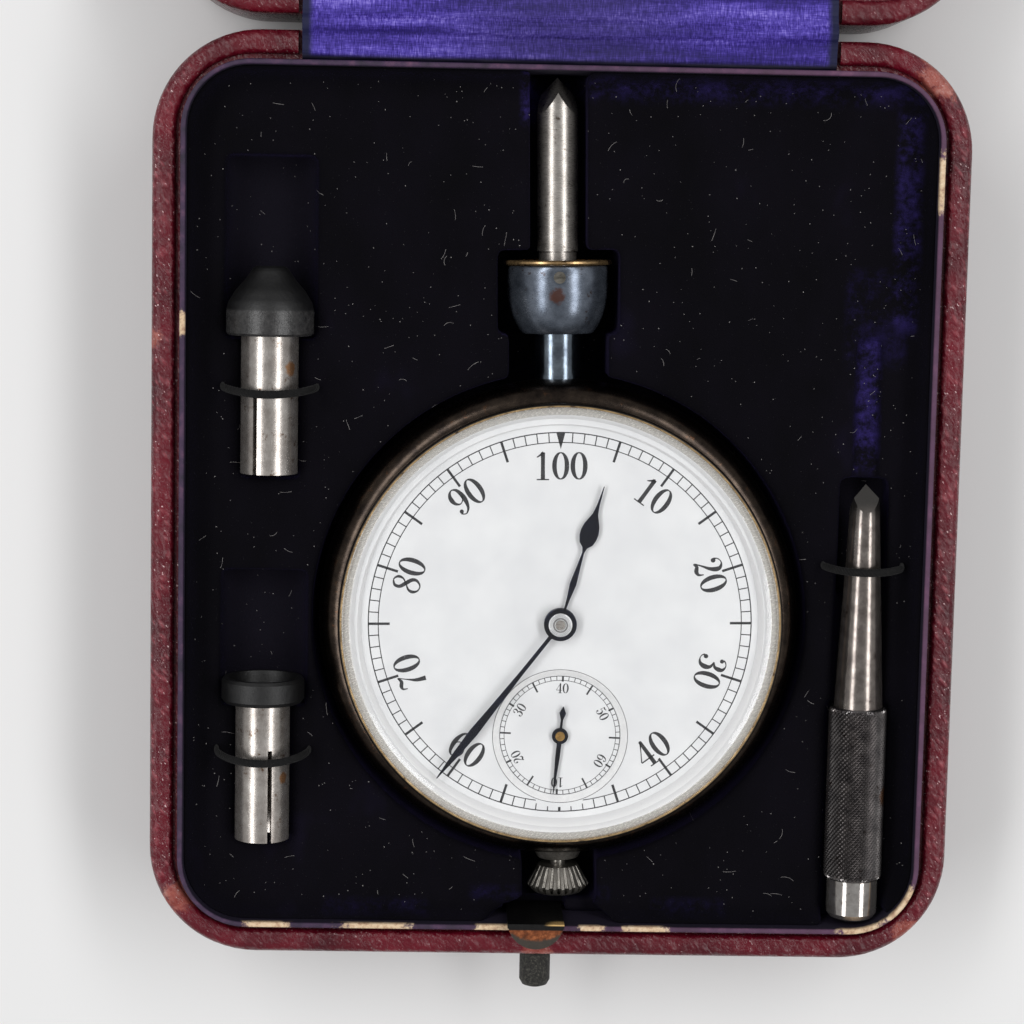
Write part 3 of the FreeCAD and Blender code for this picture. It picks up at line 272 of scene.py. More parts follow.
def card():
    """Purple paper over the card lip, worn to cream in places, with painted light on its top and right side
    and painted shade down its sides.
    """
    p = Paint("lip_paper", "card_lip")
    paper = p.ramp(p.noise(2.2, 4, 0.6), (0.3, tint(28, 20, 40)), (0.55, tint(58, 36, 66)),
                   (0.8, tint(104, 66, 92)))
    # painted light: the paper is coloured lighter towards the right side
    side = p.fade(p.part("X"), -30.0, 46.0)
    paper = p.blend(p.times(side, 0.3), paper, tint(124, 76, 104))
    # painted light and shade: the top keeps the paper colour and the lip's sides below it are coloured dark
    edge = p.fade(p.part("Z"), LIP_TOP - 0.3, LIP_TOP - 0.02)
    paper = p.blend(p.minus(1.0, edge), paper, tint(24, 17, 38))
    worn = p.spots([((46.8, 41.0, 19.5), 6.5), ((44.8, -50.5, 19.5), 5.0), ((-47.0, 22.0, 19.5), 2.6),
                    ((40.0, -54.2, 19.5), 5.0), ((-6.5, -54.2, 19.5), 5.0), ((5.5, -54.2, 19.5), 3.0),
                    ((12.5, -54.2, 19.5), 5.0), ((-22.0, -54.2, 19.5), 8.0), ((-36.0, -54.0, 19.5), 5.0)])
    top = p.fade(p.part("Z"), 18.4, 19.3)
    ragged = p.plus(p.times(worn, 0.8), p.times(p.noise(0.9, 5, 0.75), 0.85))
    ragged = p.times(p.fade(ragged, 0.72, 0.90), top)
    cream = p.ramp(p.noise(0.8, 4, 0.7), (0.3, tint(158, 120, 98)), (0.5, tint(214, 186, 152)),
                   (0.75, tint(234, 214, 186)))
    p.set(Base_Color=p.blend(ragged, paper, cream), Roughness=0.66,
          Normal=p.bump(p.noise(0.25, 4, 0.7), 0.05, p.bump(p.noise(3, 2), 0.15)))
    return p


def velvet():
    """Crushed silk velvet, almost black, with a painted violet sheen in long bands and painted light down in
    its hollows.
    """
    p = Paint("velvet_violet", "velvet")
    nap = p.noise(0.22, 3, 0.7)
    sweep = p.noise(11, 3, 0.55, p.space(stretch=(1, 1.7, 1)))
    base = p.ramp(sweep, (0.35, tint(7, 6, 10)), (0.62, tint(11, 9, 16)), (0.85, tint(21, 17, 35)))
    # painted light: the velvet is coloured lighter down in the hollows, to make up for their shade
    sunk = p.fade(p.part("Z"), PAD_TOP - 0.8, PAD_TOP - 3.0)
    base = p.blend(sunk, base, tint(18, 16, 24))
    mottle = p.plus(p.times(p.noise(1.1, 4, 0.75), 0.6), p.times(p.noise(4.5, 3, 0.6), 0.6))
    across, along = p.part("X"), p.part("Y")
    low, high = corners("spindle_shaft")
    # painted sheen, standing for light on the nap in long bands: middle and half width across, start and end
    # along, strength
    sheen_streaks = [(PROBE_X, 1.5, 4.5, 21.5, 0.9), (low[0] - 0.6, 1.5, high[1] - 6.0, 54.0, 0.9),
               (-1.0, 9.0, -51.5, -50.2, 0.35), (18.0, 5.0, -52.8, -51.6, 0.3),
               (-22.0, 7.0, -53.0, -52.0, 0.3), (22.0, 24.0, 50.6, 53.0, 0.5), (43.5, 1.6, 22.0, 50.0, 0.5),
               (40.0, 4.0, 18.0, 30.0, 0.2)]
    violet = 0.0
    for middle_x, half, start, end, strength in sheen_streaks:
        off = p.absolute(p.minus(across, middle_x))
        streak = p.times(p.fade(off, half + 0.5, half - 0.7), p.fade(along, start - 1.0, start + 2.0))
        streak = p.times(streak, p.fade(along, end + 1.0, end - 1.0))
        violet = p.larger(violet, p.times(streak, strength))
    # painted sheen: the bands' strength, broken up by the mottle, mixes the velvet towards violet
    worn = p.times(violet, p.fade(mottle, 0.50, 0.82))
    colour = p.blend(worn, base, tint(50, 40, 104))
    dust = p.fade(p.noise(0.22, 2, 0.6), 0.71, 0.77)
    colour = p.blend(p.times(dust, 0.14), colour, tint(140, 138, 142))
    p.set(Base_Color=colour, Roughness=0.95, Specular_IOR_Level=0.08, Sheen_Weight=0.09,
          Sheen_Roughness=0.35, Sheen_Tint=tint(120, 104, 190),
          Normal=p.bump(nap, 0.16, p.bump(p.noise(2.5, 2), 0.2)))
    return p


def satin():
    """Blue-violet satin ribbon: fine uneven ribs and soft folds in painted sheen and shade, darker selvedges,
    and painted shade across its middle and where it bends down over the base rim.
    """
    p = Paint("satin_violet", "satin")
    rib = p.noise(0.14, 2, 0.6, p.space(stretch=(1, 8, 3)))
    weft = p.noise(0.12, 2, 0.6, p.space(stretch=(10, 1, 3)))
    fold = p.noise(2.6, 3, 0.55, p.space(stretch=(9, 1, 1)))
    # painted sheen and shade: ribs and folds carry the colour from deep blue-violet to pale lilac
    level = p.plus(p.times(rib, 0.34), p.times(fold, 0.46))
    level = p.plus(level, p.times(weft, 0.20))
    colour = p.ramp(level, (0.36, tint(24, 14, 78)), (0.48, tint(48, 34, 122)), (0.57, tint(84, 68, 172)),
                    (0.66, tint(142, 128, 216)))
    across = p.absolute(p.minus(p.part("X"), 0.5))
    shade = p.fade(across, 22.0, 4.0)
    colour = p.blend(p.times(shade, 0.45), colour, tint(38, 34, 62))
    colour = p.blend(p.fade(across, 31.4, 32.4), colour, tint(24, 26, 58))
    # painted shade where the ribbon bends down over the base rim
    front_shade = p.fade(p.part("Y"), 55.6, 54.9)
    colour = p.blend(front_shade, colour, tint(12, 10, 30))
    p.set(Base_Color=colour, Roughness=p.ramp(rib, (0.3, 0.42), (0.7, 0.6)), Specular_IOR_Level=0.25,
          Sheen_Weight=0.08, Sheen_Roughness=0.3, Sheen_Tint=tint(120, 110, 220),
          Normal=p.bump(weft, 0.02, p.bump(fold, 0.5)))
    return p


def elastic():
    """Black covered elastic cord, spun threads across its length."""
    p = Paint("elastic_black", "elastic")
    spun = p.wave(0.26, 1.2)
    colour = p.ramp(p.noise(0.4, 4, 0.7), (0.35, tint(4, 4, 5)), (0.6, tint(11, 10, 11)),
                    (0.8, tint(44, 40, 38)))
    p.set(Base_Color=colour, Roughness=0.8, Sheen_Weight=0.05, Specular_IOR_Level=0.25,
          Normal=p.bump(spun, 0.07, p.bump(p.noise(0.2, 3), 0.04)))
    return p


def metal(name, slot, dark, light, rough, lathe=None, stain=None, stain_amount=0.0, scratch=0.003, touch=None,
          bare=1.0):
    """A metal with cloudy tone, fine scratches or turning marks, and stains.

    touch adds colour of its own; bare is the share that isn't dulled by a film of oil and oxide.
    """
    p = Paint(name, slot)
    colour = p.ramp(p.noise(2.0, 5, 0.65), (0.3, dark), (0.7, light))
    if stain is not None:
        amount = p.fade(p.noise(1.5, 5, 0.7), 0.62 - stain_amount * 0.3, 0.72 - stain_amount * 0.2)
        colour = p.blend(amount, colour, stain)
    if touch is not None:
        colour = touch(p, colour)
    where = p.space(stretch=lathe) if lathe else p.space(stretch=(6, 1, 1), turn=(0, 0, 25))
    marks = p.noise(0.09, 3, 0.6, where)
    p.set(Base_Color=colour, Metallic=bare, Roughness=p.ramp(marks, (0.3, rough * 0.8), (0.7, rough * 1.3)),
          Normal=p.bump(marks, scratch))
    return p


def rusty(rust, *spots):
    """A touch of rust at the given (spot, reach) places."""
    def touch(p, colour):
        for spot, reach in spots:
            ragged = p.plus(p.near(spot, reach), p.times(p.noise(0.7, 4, 0.7), 0.7))
            colour = p.blend(p.times(p.fade(ragged, 0.62, 0.95), 0.85), colour, rust)
        return colour
    return touch


def darkened(axis, start, end, shade):
    """A touch that darkens towards one end of a piece."""
    return lambda p, colour: p.blend(p.fade(p.part(axis), start, end), colour, shade)


def bezel_tones(p, colour):
    """The bezel's gilt line: the inner face towards the dial coloured near white as a painted highlight, dark
    outside it.
    """
    off = p.across(HUB)
    # painted highlight: the top of the inner face towards the dial is coloured near white
    painted_highlight = p.times(p.fade(off, 27.52, 27.46), p.fade(p.part("Z"), 20.45, 20.3))
    colour = p.blend(painted_highlight, colour, tint(232, 230, 226))
    return p.blend(p.fade(off, 27.66, 27.76), colour, tint(30, 27, 25))


def enamel():
    """White vitreous enamel, glossy, very slightly clouded."""
    p = Paint("enamel_white", "enamel")
    colour = p.ramp(p.noise(6, 3), (0.3, tint(226, 227, 229)), (0.7, tint(237, 238, 239)))
    colour = p.blend(p.fade(p.noise(0.35, 3, 0.7), 0.75, 0.80), colour, tint(186, 182, 176))
    p.set(Base_Color=colour, Roughness=0.22, Normal=p.bump(p.noise(1.8, 2), 0.006))
    return p


def surround():
    """The dial's tension ring: white, with painted light that makes it brightest along its outer half."""
    p = Paint("ring_white", "enamel")
    out = p.across(HUB)
    # painted light: the ring is coloured brighter towards its outer edge
    colour = p.ramp(p.fade(out, 25.2, 26.6), (0.0, tint(222, 222, 223)), (1.0, tint(250, 250, 250)))
    colour = p.blend(p.fade(out, 27.0, 27.25), colour, tint(88, 84, 80))
    grime = p.fade(p.noise(0.8, 4, 0.7), 0.62, 0.8)
    p.set(Base_Color=p.blend(p.times(grime, 0.25), colour, tint(170, 164, 154)), Roughness=0.4,
          Normal=p.bump(p.noise(0.5, 3), 0.01))
    return p


def plain(name, slot, dark, light, size, rough, depth=0.01):
    """A matt finish mottled between two colours, with a fine relief."""
    p = Paint(name, slot)
    mottle = p.noise(size, 4, 0.65)
    p.set(Base_Color=p.ramp(mottle, (0.3, dark), (0.7, light)), Roughness=rough, Normal=p.bump(mottle, depth))
    return p


def glass():
    """Clear crystal that lets the lamps' light through to the dial."""
    p = Paint("crystal_clear", "crystal")
    p.set(Base_Color=(1.0, 1.0, 1.0, 1.0), Transmission_Weight=1.0, IOR=1.45,
          Roughness=p.ramp(p.noise(1.2, 5, 0.7), (0.6, 0.0), (0.85, 0.05)))
    clear = p.add("ShaderNodeBsdfTransparent")
    path = p.add("ShaderNodeLightPath")
    mix = p.add("ShaderNodeMixShader")
    out = p.tree.nodes["Material Output"]
    p.feed(mix.inputs[0], p.larger(path.outputs["Is Shadow Ray"], path.outputs["Is Diffuse Ray"]))
    p.feed(mix.inputs[1], p.shader.outputs[0])
    p.feed(mix.inputs[2], clear.outputs[0])
    p.feed(out.inputs["Surface"], mix.outputs[0])
    return p


def rubber():
    """Old black rubber: a nearly black face, and a grey bloom on the ring that grips the sleeve."""
    p = Paint("rubber_black", "black_rubber")
    bloom = p.ramp(p.noise(1.6, 5, 0.7), (0.3, tint(5, 5, 6)), (0.6, tint(11, 11, 12)),
                   (0.82, tint(28, 28, 30)))
    ring = p.times(p.fade(p.part("Y"), 24.0, 23.6), p.fade(p.part("Y"), 20.0, 20.4))
    mottle = p.ramp(p.noise(0.7, 5, 0.75), (0.3, tint(26, 26, 27)), (0.7, tint(62, 61, 61)))
    colour = p.blend(ring, bloom, mottle)
    pit = p.noise(0.22, 4, 0.7)
    dull = p.ramp(pit, (0.3, 0.40), (0.7, 0.54))
    p.set(Base_Color=colour, Roughness=p.blend(ring, dull, p.ramp(pit, (0.3, 0.18), (0.7, 0.30))),
          Normal=p.bump(pit, 0.03, p.bump(p.noise(1.4, 2), 0.05)))
    return p


def patina():
    """The push button: dull dark metal, granular with corrosion."""
    p = Paint("button_patina", "button_black")
    grit = p.noise(0.35, 6, 0.75)
    colour = p.ramp(grit, (0.32, tint(18, 19, 19)), (0.52, tint(54, 53, 50)), (0.68, tint(98, 96, 88)))
    p.set(Base_Color=colour, Metallic=0.5, Roughness=0.6, Normal=p.bump(grit, 0.12))
    return p


def copper():
    """The latch nose: brass browned to copper, dull grey-green round its edge, with painted shade along the
    blade and a painted glint near its corner.
    """
    p = Paint("latch_copper", "brass")
    low, high = corners("latch_catch")
    cloud = p.noise(0.8, 6, 0.75)
    colour = p.ramp(cloud, (0.30, tint(70, 34, 18)), (0.50, tint(124, 66, 34)), (0.66, tint(168, 100, 60)))
    ends = p.absolute(p.minus(p.part("X"), (low[0] + high[0]) / 2))
    bow = p.plus(p.minus(p.part("Y"), low[1]), p.times(p.times(ends, ends), -0.09))
    rim = p.fade(p.plus(bow, p.times(cloud, 0.7)), 1.75, 1.25)
    colour = p.blend(rim, colour, tint(66, 60, 54))
    # painted shade: the blade's top is coloured near black
    blade_shade = p.fade(p.part("Y"), high[1] - 0.85, high[1] - 0.70)
    colour = p.blend(blade_shade, colour, tint(12, 11, 11))
    # painted highlight: a pale gold glint along the blade's top edge near its corner
    corner_glint = p.near((high[0] - 0.6, high[1], high[2]), 2.6)
    line = p.fade(p.part("Y"), high[1] - 0.22, high[1] - 0.14)
    colour = p.blend(p.times(p.fade(corner_glint, 0.2, 0.7), line), colour, tint(216, 178, 116))
    p.set(Base_Color=colour, Metallic=0.5, Roughness=p.ramp(cloud, (0.3, 0.34), (0.7, 0.55)),
          Normal=p.bump(p.noise(0.3, 5, 0.7), 0.04))
    return p


def silver():
    """The turned silver cap of the centre arbor."""
    p = Paint("cap_silver", "nickel")
    turned = p.rings(HUB, 0.16)
    colour = p.ramp(p.noise(0.8, 4), (0.3, tint(196, 198, 200)), (0.7, tint(226, 226, 227)))
    off = p.across(HUB)
    # painted shade: a dark ring stands for a turned groove in the cap
    groove_shade = p.times(p.fade(off, 0.72, 0.80), p.fade(off, 0.96, 0.88))
    colour = p.blend(groove_shade, colour, tint(110, 108, 108))
    p.set(Base_Color=colour, Metallic=0.5, Roughness=p.ramp(turned, (0.0, 0.2), (0.08, 0.34)),
          Normal=p.bump(turned, 0.05))
    return p


def finishes():
    """Every finish by name."""
    lengthwise, sleeves = (1, 9, 1), (1, 7, 1)
    cone, cup, probe_tip = middle("cone_sleeve"), middle("cup_sleeve"), corners("probe_rod")[1][1]
    screw = middle("collar_screw")
    collar_rust = rusty(tint(96, 58, 44), ((screw[0] - 0.2, screw[1] - 2.3, screw[2] - 0.3), 1.7))
    sleeve_rust = rusty(tint(186, 128, 74), ((cone[0] + 2.7, cone[1] + 2.6, cone[2] + 2.2), 1.5),
                        ((cup[0] + 2.8, cup[1] - 1.0, cup[2] + 2.0), 1.2))
    grip_rust = rusty(tint(104, 70, 44), ((PROBE_X + 3.4, -37.0, 17.0), 2.2))
    probe_shade = darkened("Y", probe_tip - 5.0, probe_tip - 2.0, tint(84, 82, 80))
    return {
        "leather": leather(), "card": card(), "velvet": velvet(), "satin": satin(), "elastic": elastic(),
        "enamel": enamel(), "glass": glass(), "rubber": rubber(), "patina": patina(), "copper": copper(),
        "surround": surround(), "silver": silver(),
        "ink": plain("enamel_black", "enamel", tint(24, 24, 27), tint(46, 46, 50), 0.4, 0.35, 0.002),
        "bevel": plain("bevel_white", "enamel", tint(232, 232, 233), tint(246, 246, 246), 1.2, 0.3),
        "shade": plain("edge_shade_grey", "enamel", tint(96, 96, 98), tint(132, 132, 134), 0.5, 0.4, 0.002),
        "lint": plain("lint_pale", "velvet", tint(96, 92, 96), tint(176, 172, 170), 0.6, 0.9, 0.004),
        "brass": metal("brass_movement", "brass", tint(150, 112, 58), tint(196, 158, 92), 0.32),
        "gilt": metal("gilt_rim", "gilt", tint(122, 98, 68), tint(206, 172, 124), 0.26,
                      stain=tint(58, 44, 36), stain_amount=0.3, bare=0.85),
        "bezel": metal("bezel_gilt", "gilt", tint(130, 106, 74), tint(214, 182, 134), 0.24,
                       stain=tint(74, 58, 44), stain_amount=0.25, bare=0.6, touch=bezel_tones),
        "band": metal("band_blacked", "blued_steel", tint(40, 35, 33), tint(76, 66, 58), 0.24,
                      stain=tint(96, 70, 54), stain_amount=0.1),
        "neck": metal("neck_blacked", "blued_steel", tint(84, 92, 102), tint(138, 150, 162), 0.18,
                      lathe=lengthwise),
        "blued": metal("collar_blued", "blued_steel", tint(78, 85, 96), tint(124, 132, 145), 0.25,
                       lathe=(4, 1, 4), stain=tint(60, 46, 42), stain_amount=0.05, scratch=0.0012, bare=0.8,
                       touch=collar_rust),
        "hands": metal("hands_blued", "blue_hands", tint(12, 13, 22), tint(30, 36, 60), 0.2),
        "steel": metal("steel_bright", "bright_steel", tint(150, 145, 140), tint(190, 184, 178), 0.29,
                       lathe=(7, 1, 7), stain=tint(96, 84, 76), stain_amount=0.1, bare=0.85),
        "screw": metal("screw_steel", "bright_steel", tint(96, 92, 84), tint(150, 146, 138), 0.3, bare=0.9),
        "sleeve": metal("sleeve_steel", "bright_steel", tint(160, 152, 146), tint(206, 200, 194), 0.26,
                        lathe=sleeves, stain=tint(112, 88, 70), stain_amount=0.1, bare=0.85,
                        touch=sleeve_rust),
        "nickel": metal("crown_nickel", "nickel", tint(96, 92, 87), tint(156, 152, 145), 0.3,
                        stain=tint(60, 54, 50), stain_amount=0.2, bare=0.8),
        "probe": metal("probe_steel", "bright_steel", tint(106, 98, 94), tint(164, 156, 150), 0.2,
                       lathe=lengthwise, stain=tint(60, 46, 40), stain_amount=0.08, bare=0.9,
                       touch=probe_shade),
        "grip": metal("grip_browned", "bright_steel", tint(88, 85, 86), tint(134, 130, 129), 0.2,
                      stain=tint(64, 54, 50), stain_amount=0.1, bare=0.94, touch=grip_rust),
        "end": metal("probe_end_polished", "bright_steel", tint(150, 144, 140), tint(206, 202, 198), 0.12,
                     lathe=sleeves, stain=tint(110, 98, 92), stain_amount=0.1, bare=0.9),
    }


paints = finishes()


def wear(piece, finish):
    """Give a piece one finish all over."""
    piece.data.materials.clear()
    piece.data.materials.append(paints[finish].material)


def dress():
    """The finishes of the pieces that keep their solid shape."""
    table = {
        "leather": ["base_shell", "lid_shell"],
        "card": ["base_lip"],
        "enamel": ["dial", "sub_dial"],
        "glass": ["crystal"],
        "rubber": ["cone_rubber", "cup_rubber"],
        "patina": ["latch_button"],
        "copper": ["latch_catch"],
        "brass": ["keeper_plate", "hinge_leaf_base", "hinge_leaf_lid", "hinge_pin", "main_plate",
                  "back_plate", "plate_pillars", "front_bush", "end_bearing", "worm_wheel", "centre_wheel",
                  "reduction_wheel", "register_wheel", "idler_wheel", "hundreds_wheel", "back_cover"],
        "gilt": ["collar_ring"],
        "bezel": ["bezel"],
        "band": ["case_band"],
        "neck": ["neck_tube"],
        "hands": ["count_hand", "hundreds_hand", "small_hand"],
        "steel": ["spindle_shaft", "thrust_ball", "worm", "first_arbor", "centre_arbor", "reduction_arbor"],
        "screw": ["collar_screw", "plate_screws"],
        "sleeve": ["cone_sleeve", "cup_sleeve"],
        "end": ["probe_end"],
        "nickel": ["crown", "crown_stem", "stem_bush"],
        "probe": ["probe_rod"],
        "silver": ["hand_cap"],
    }
    for finish, names in table.items():
        for name in names:
            for slot in nodes[name].material_slots:
                slot.link = "OBJECT"
                slot.material = paints[finish].material


# ---- shapes -------------------------------------------------------------------------------------------
def placed(name, data):
    """A new object in the scene."""
    thing = bpy.data.objects.new(name, data)
    bpy.context.scene.collection.objects.link(thing)
    return thing


def apply_modifiers(piece):
    """Bake a piece's modifiers into its mesh."""
    graph = bpy.context.evaluated_depsgraph_get()
    mesh = bpy.data.meshes.new_from_object(piece.evaluated_get(graph))
    piece.modifiers.clear()
    piece.data = mesh


def smooth_faces(piece, angle=None):
    """Shade a piece smooth, keeping the edges that bend more than angle degrees."""
    piece.data.shade_smooth()
    if angle is not None:
        piece.data.set_sharp_from_angle(angle=math.radians(angle))


def soften_group():
    """A modifier for solid pieces: joined corners, smooth faces, and edges kept where they turn sharply."""
    group = bpy.data.node_groups.new("soften", "GeometryNodeTree")
    for side in ("INPUT", "OUTPUT"):
        group.interface.new_socket("Geometry", in_out=side, socket_type="NodeSocketGeometry")
    make = group.nodes.new
    start, end = make("NodeGroupInput"), make("NodeGroupOutput")
    join = make("GeometryNodeMergeByDistance")
    joined, sharp_bend = 0.002, 28
    join.inputs["Distance"].default_value = joined * MM
    faces = make("GeometryNodeSetShadeSmooth")
    edges = make("GeometryNodeSetShadeSmooth")
    edges.domain = "EDGE"
    edges.inputs["Shade Smooth"].default_value = False
    angle = make("GeometryNodeInputMeshEdgeAngle")
    sharp = make("FunctionNodeCompare")
    sharp.operation = "GREATER_THAN"
    sharp.inputs["B"].default_value = math.radians(sharp_bend)
    group.links.new(angle.outputs["Unsigned Angle"], sharp.inputs["A"])
    group.links.new(sharp.outputs["Result"], edges.inputs["Selection"])
    chain = [start, join, faces, edges, end]
    for before, after in zip(chain, chain[1:]):
        group.links.new(before.outputs["Geometry"], after.inputs["Geometry"])
    return group


def round_off():
    """Smooth shading on every solid piece, and a worn edge on the loose metal ones and the lip."""
    group = soften_group()
    for node in nodes.values():
        node.modifiers.new("soften", "NODES").node_group = group
    widths = {"count_hand": 0.10, "hundreds_hand": 0.12, "hand_cap": 0.10, "collar_screw": 0.06,
              "latch_catch": 0.12, "bezel": 0.10, "base_lip": 0.26}
    for name, width in widths.items():
        edge = nodes[name].modifiers.new("edge", "BEVEL")
        edge.width = width * MM
        edge.segments = 3
        edge.limit_method = "ANGLE"
        edge.angle_limit = math.radians(CREASE)
        edge.harden_normals = True


def new_piece(name, verts, faces, finish, body):
    """A mesh piece in millimetres, in its finish, on its body."""
    mesh = bpy.data.meshes.new(name)
    mesh.from_pydata([[c * MM for c in v] for v in verts], [], faces)
    mesh.validate()
    piece = placed(name, mesh)
    wear(piece, finish)
    if body is not None:
        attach(piece, body)
    return piece


def net(rows, count, looped=False, closed=False, turned=False):
    """Four-sided faces between rows of count points.

    looped joins the last row to the first, closed joins the ends of each row, and turned faces the other way.
    """
    faces = []
    for row in range(rows if looped else rows - 1):
        here, there = row * count, (row + 1) % rows * count
        for k in range(count if closed else count - 1):
            after = (k + 1) % count
            if turned:
                faces.append((here + k, there + k, there + after, here + after))
            else:
                faces.append((here + k, here + after, there + after, there + k))
    return faces


def lathe(name, profile, centre, finish, body, steps=180):
    """A ring turned about an upright axis; the profile is (radius, height) from inside to outside."""
    verts = []
    for step in range(steps):
        angle = math.tau * step / steps
        for radius, height in profile:
            verts.append((centre[0] + radius * math.cos(angle), centre[1] + radius * math.sin(angle), height))
    piece = new_piece(name, verts, net(steps, len(profile), looped=True), finish, body)
    smooth_faces(piece, CREASE)


def clock(angle, radius=1.0):
    """The place at a radius and an angle, clockwise from the top, in degrees."""
    turn = math.radians(angle)
    return (radius * math.sin(turn), radius * math.cos(turn))


class Figures:
    """Print on a dial: rings, ticks and figures gathered into one flat mesh about the dial's own centre."""

    def __init__(self, centre, turn, height):
        self.centre = centre
        self.cosine, self.sine = math.cos(math.radians(turn)), math.sin(math.radians(turn))
        self.height = height
        self.verts, self.faces = [], []

    def patch(self, *points):
        """One flat polygon, its face turned up."""
        area = sum(a[0] * b[1] - b[0] * a[1] for a, b in zip(points, points[1:] + points[:1]))
        if area < 0:
            points = points[::-1]
        first = len(self.verts)
        for x, y in points:
            self.verts.append((self.centre[0] + x * self.cosine - y * self.sine,
                               self.centre[1] + x * self.sine + y * self.cosine, self.height))
        self.faces.append(tuple(range(first, first + len(points))))

    def ring(self, radius, width, clear=None, steps=720):
        """A circle line, left out where clear(place) says no."""
        inner, outer = radius - width / 2, radius + width / 2
        for step in range(steps):
            start, end = 360 * step / steps, 360 * (step + 1) / steps
            if clear is None or clear(clock(start, radius)):
                self.patch(clock(start, inner), clock(start, outer), clock(end, outer), clock(end, inner))

    def radial(self, angle, *points):
        """A polygon of (radius, sideways) points about the radius at an angle."""
        up = clock(angle)
        self.patch(*[(up[0] * reach + up[1] * side, up[1] * reach - up[0] * side) for reach, side in points])

    def tick(self, angle, inner, outer, width):
        """A short radial bar."""
        half = width / 2
        self.radial(angle, (inner, -half), (inner, half), (outer, half), (outer, -half))

    def wedge(self, angle, inner, outer, width):
        """A solid triangle that points to the centre."""
        self.radial(angle, (inner, 0), (outer, width / 2), (outer, -width / 2))

    def stroke(self, points, place):
        """A brush stroke through (across, up, half width) points, swelling as they say."""
        fine = 6 if len(points) < 20 else 2        # pieces of curve between two points
        line = []
        for k in range(len(points) - 1):
            a, b, c, d = (points[min(max(k + j, 0), len(points) - 1)] for j in (-1, 0, 1, 2))
            for step in range(fine):
                t = step / fine
                line.append([0.5 * (2 * b[i] + (c[i] - a[i]) * t
                                    + (2 * a[i] - 5 * b[i] + 4 * c[i] - d[i]) * t ** 2
                                    + (3 * b[i] - a[i] - 3 * c[i] + d[i]) * t ** 3) for i in range(3)])
        line.append(points[-1])
        sides = []
        for k, (x, y, half) in enumerate(line):
            ahead, behind = line[min(k + 1, len(line) - 1)], line[max(k - 1, 0)]
            dx, dy = ahead[0] - behind[0], ahead[1] - behind[1]
            reach = math.hypot(dx, dy) or 1.0
            dx, dy = dx / reach * half, dy / reach * half
            sides.append((place(x - dy, y + dx), place(x + dy, y - dx)))
        for a, b in zip(sides, sides[1:]):
            self.patch(a[0], a[1], b[1], b[0])

    def ball(self, x, y, radius, place):
        """The round end of a stroke."""
        sides = 14
        turns = [math.tau * k / sides for k in range(sides)]
        self.patch(*[place(x + radius * math.cos(turn), y + radius * math.sin(turn)) for turn in turns])

    def number(self, text, angle, radius, size, inward=False):
        """A number about its own middle, its top outward or, where inward is true, towards the centre."""
        pitch, breadth = 0.66, 0.97
        middle_x, middle_y = clock(angle, radius)
        up = clock(angle, -1.0 if inward else 1.0)
        for k, sign in enumerate(text):
            shift = pitch * (k - (len(text) - 1) / 2) - FIGURE_WIDTH / 2

            def place(x, y, shift=shift, turned=sign == "9"):
                if turned:
                    x, y = FIGURE_WIDTH - x, 1 - y
                across, rise = (x + shift) * size * breadth, (y - 0.5) * size
                return (middle_x + up[1] * across + up[0] * rise, middle_y - up[0] * across + up[1] * rise)
            for points in FIGURES["6" if sign == "9" else sign]:
                if len(points) == 1:
                    self.ball(*points[0], place)
                else:
                    self.stroke(points, place)

    def finish(self, name, finish, body):
        """The mesh piece itself."""
        new_piece(name, self.verts, self.faces, finish, body)


FIGURE_WIDTH = 0.6


def oval():
    """The stroke of a nought, thick at its sides."""
    half_width, half_height, thin, swell, steps = 0.225, 0.46, 0.02, 0.062, 24
    points = []
    for k in range(steps + 1):
        turn = math.tau * k / steps
        points.append((FIGURE_WIDTH / 2 + half_width * math.cos(turn), 0.5 + half_height * math.sin(turn),
                       thin + swell * abs(math.cos(turn)) ** 1.3))
    return points


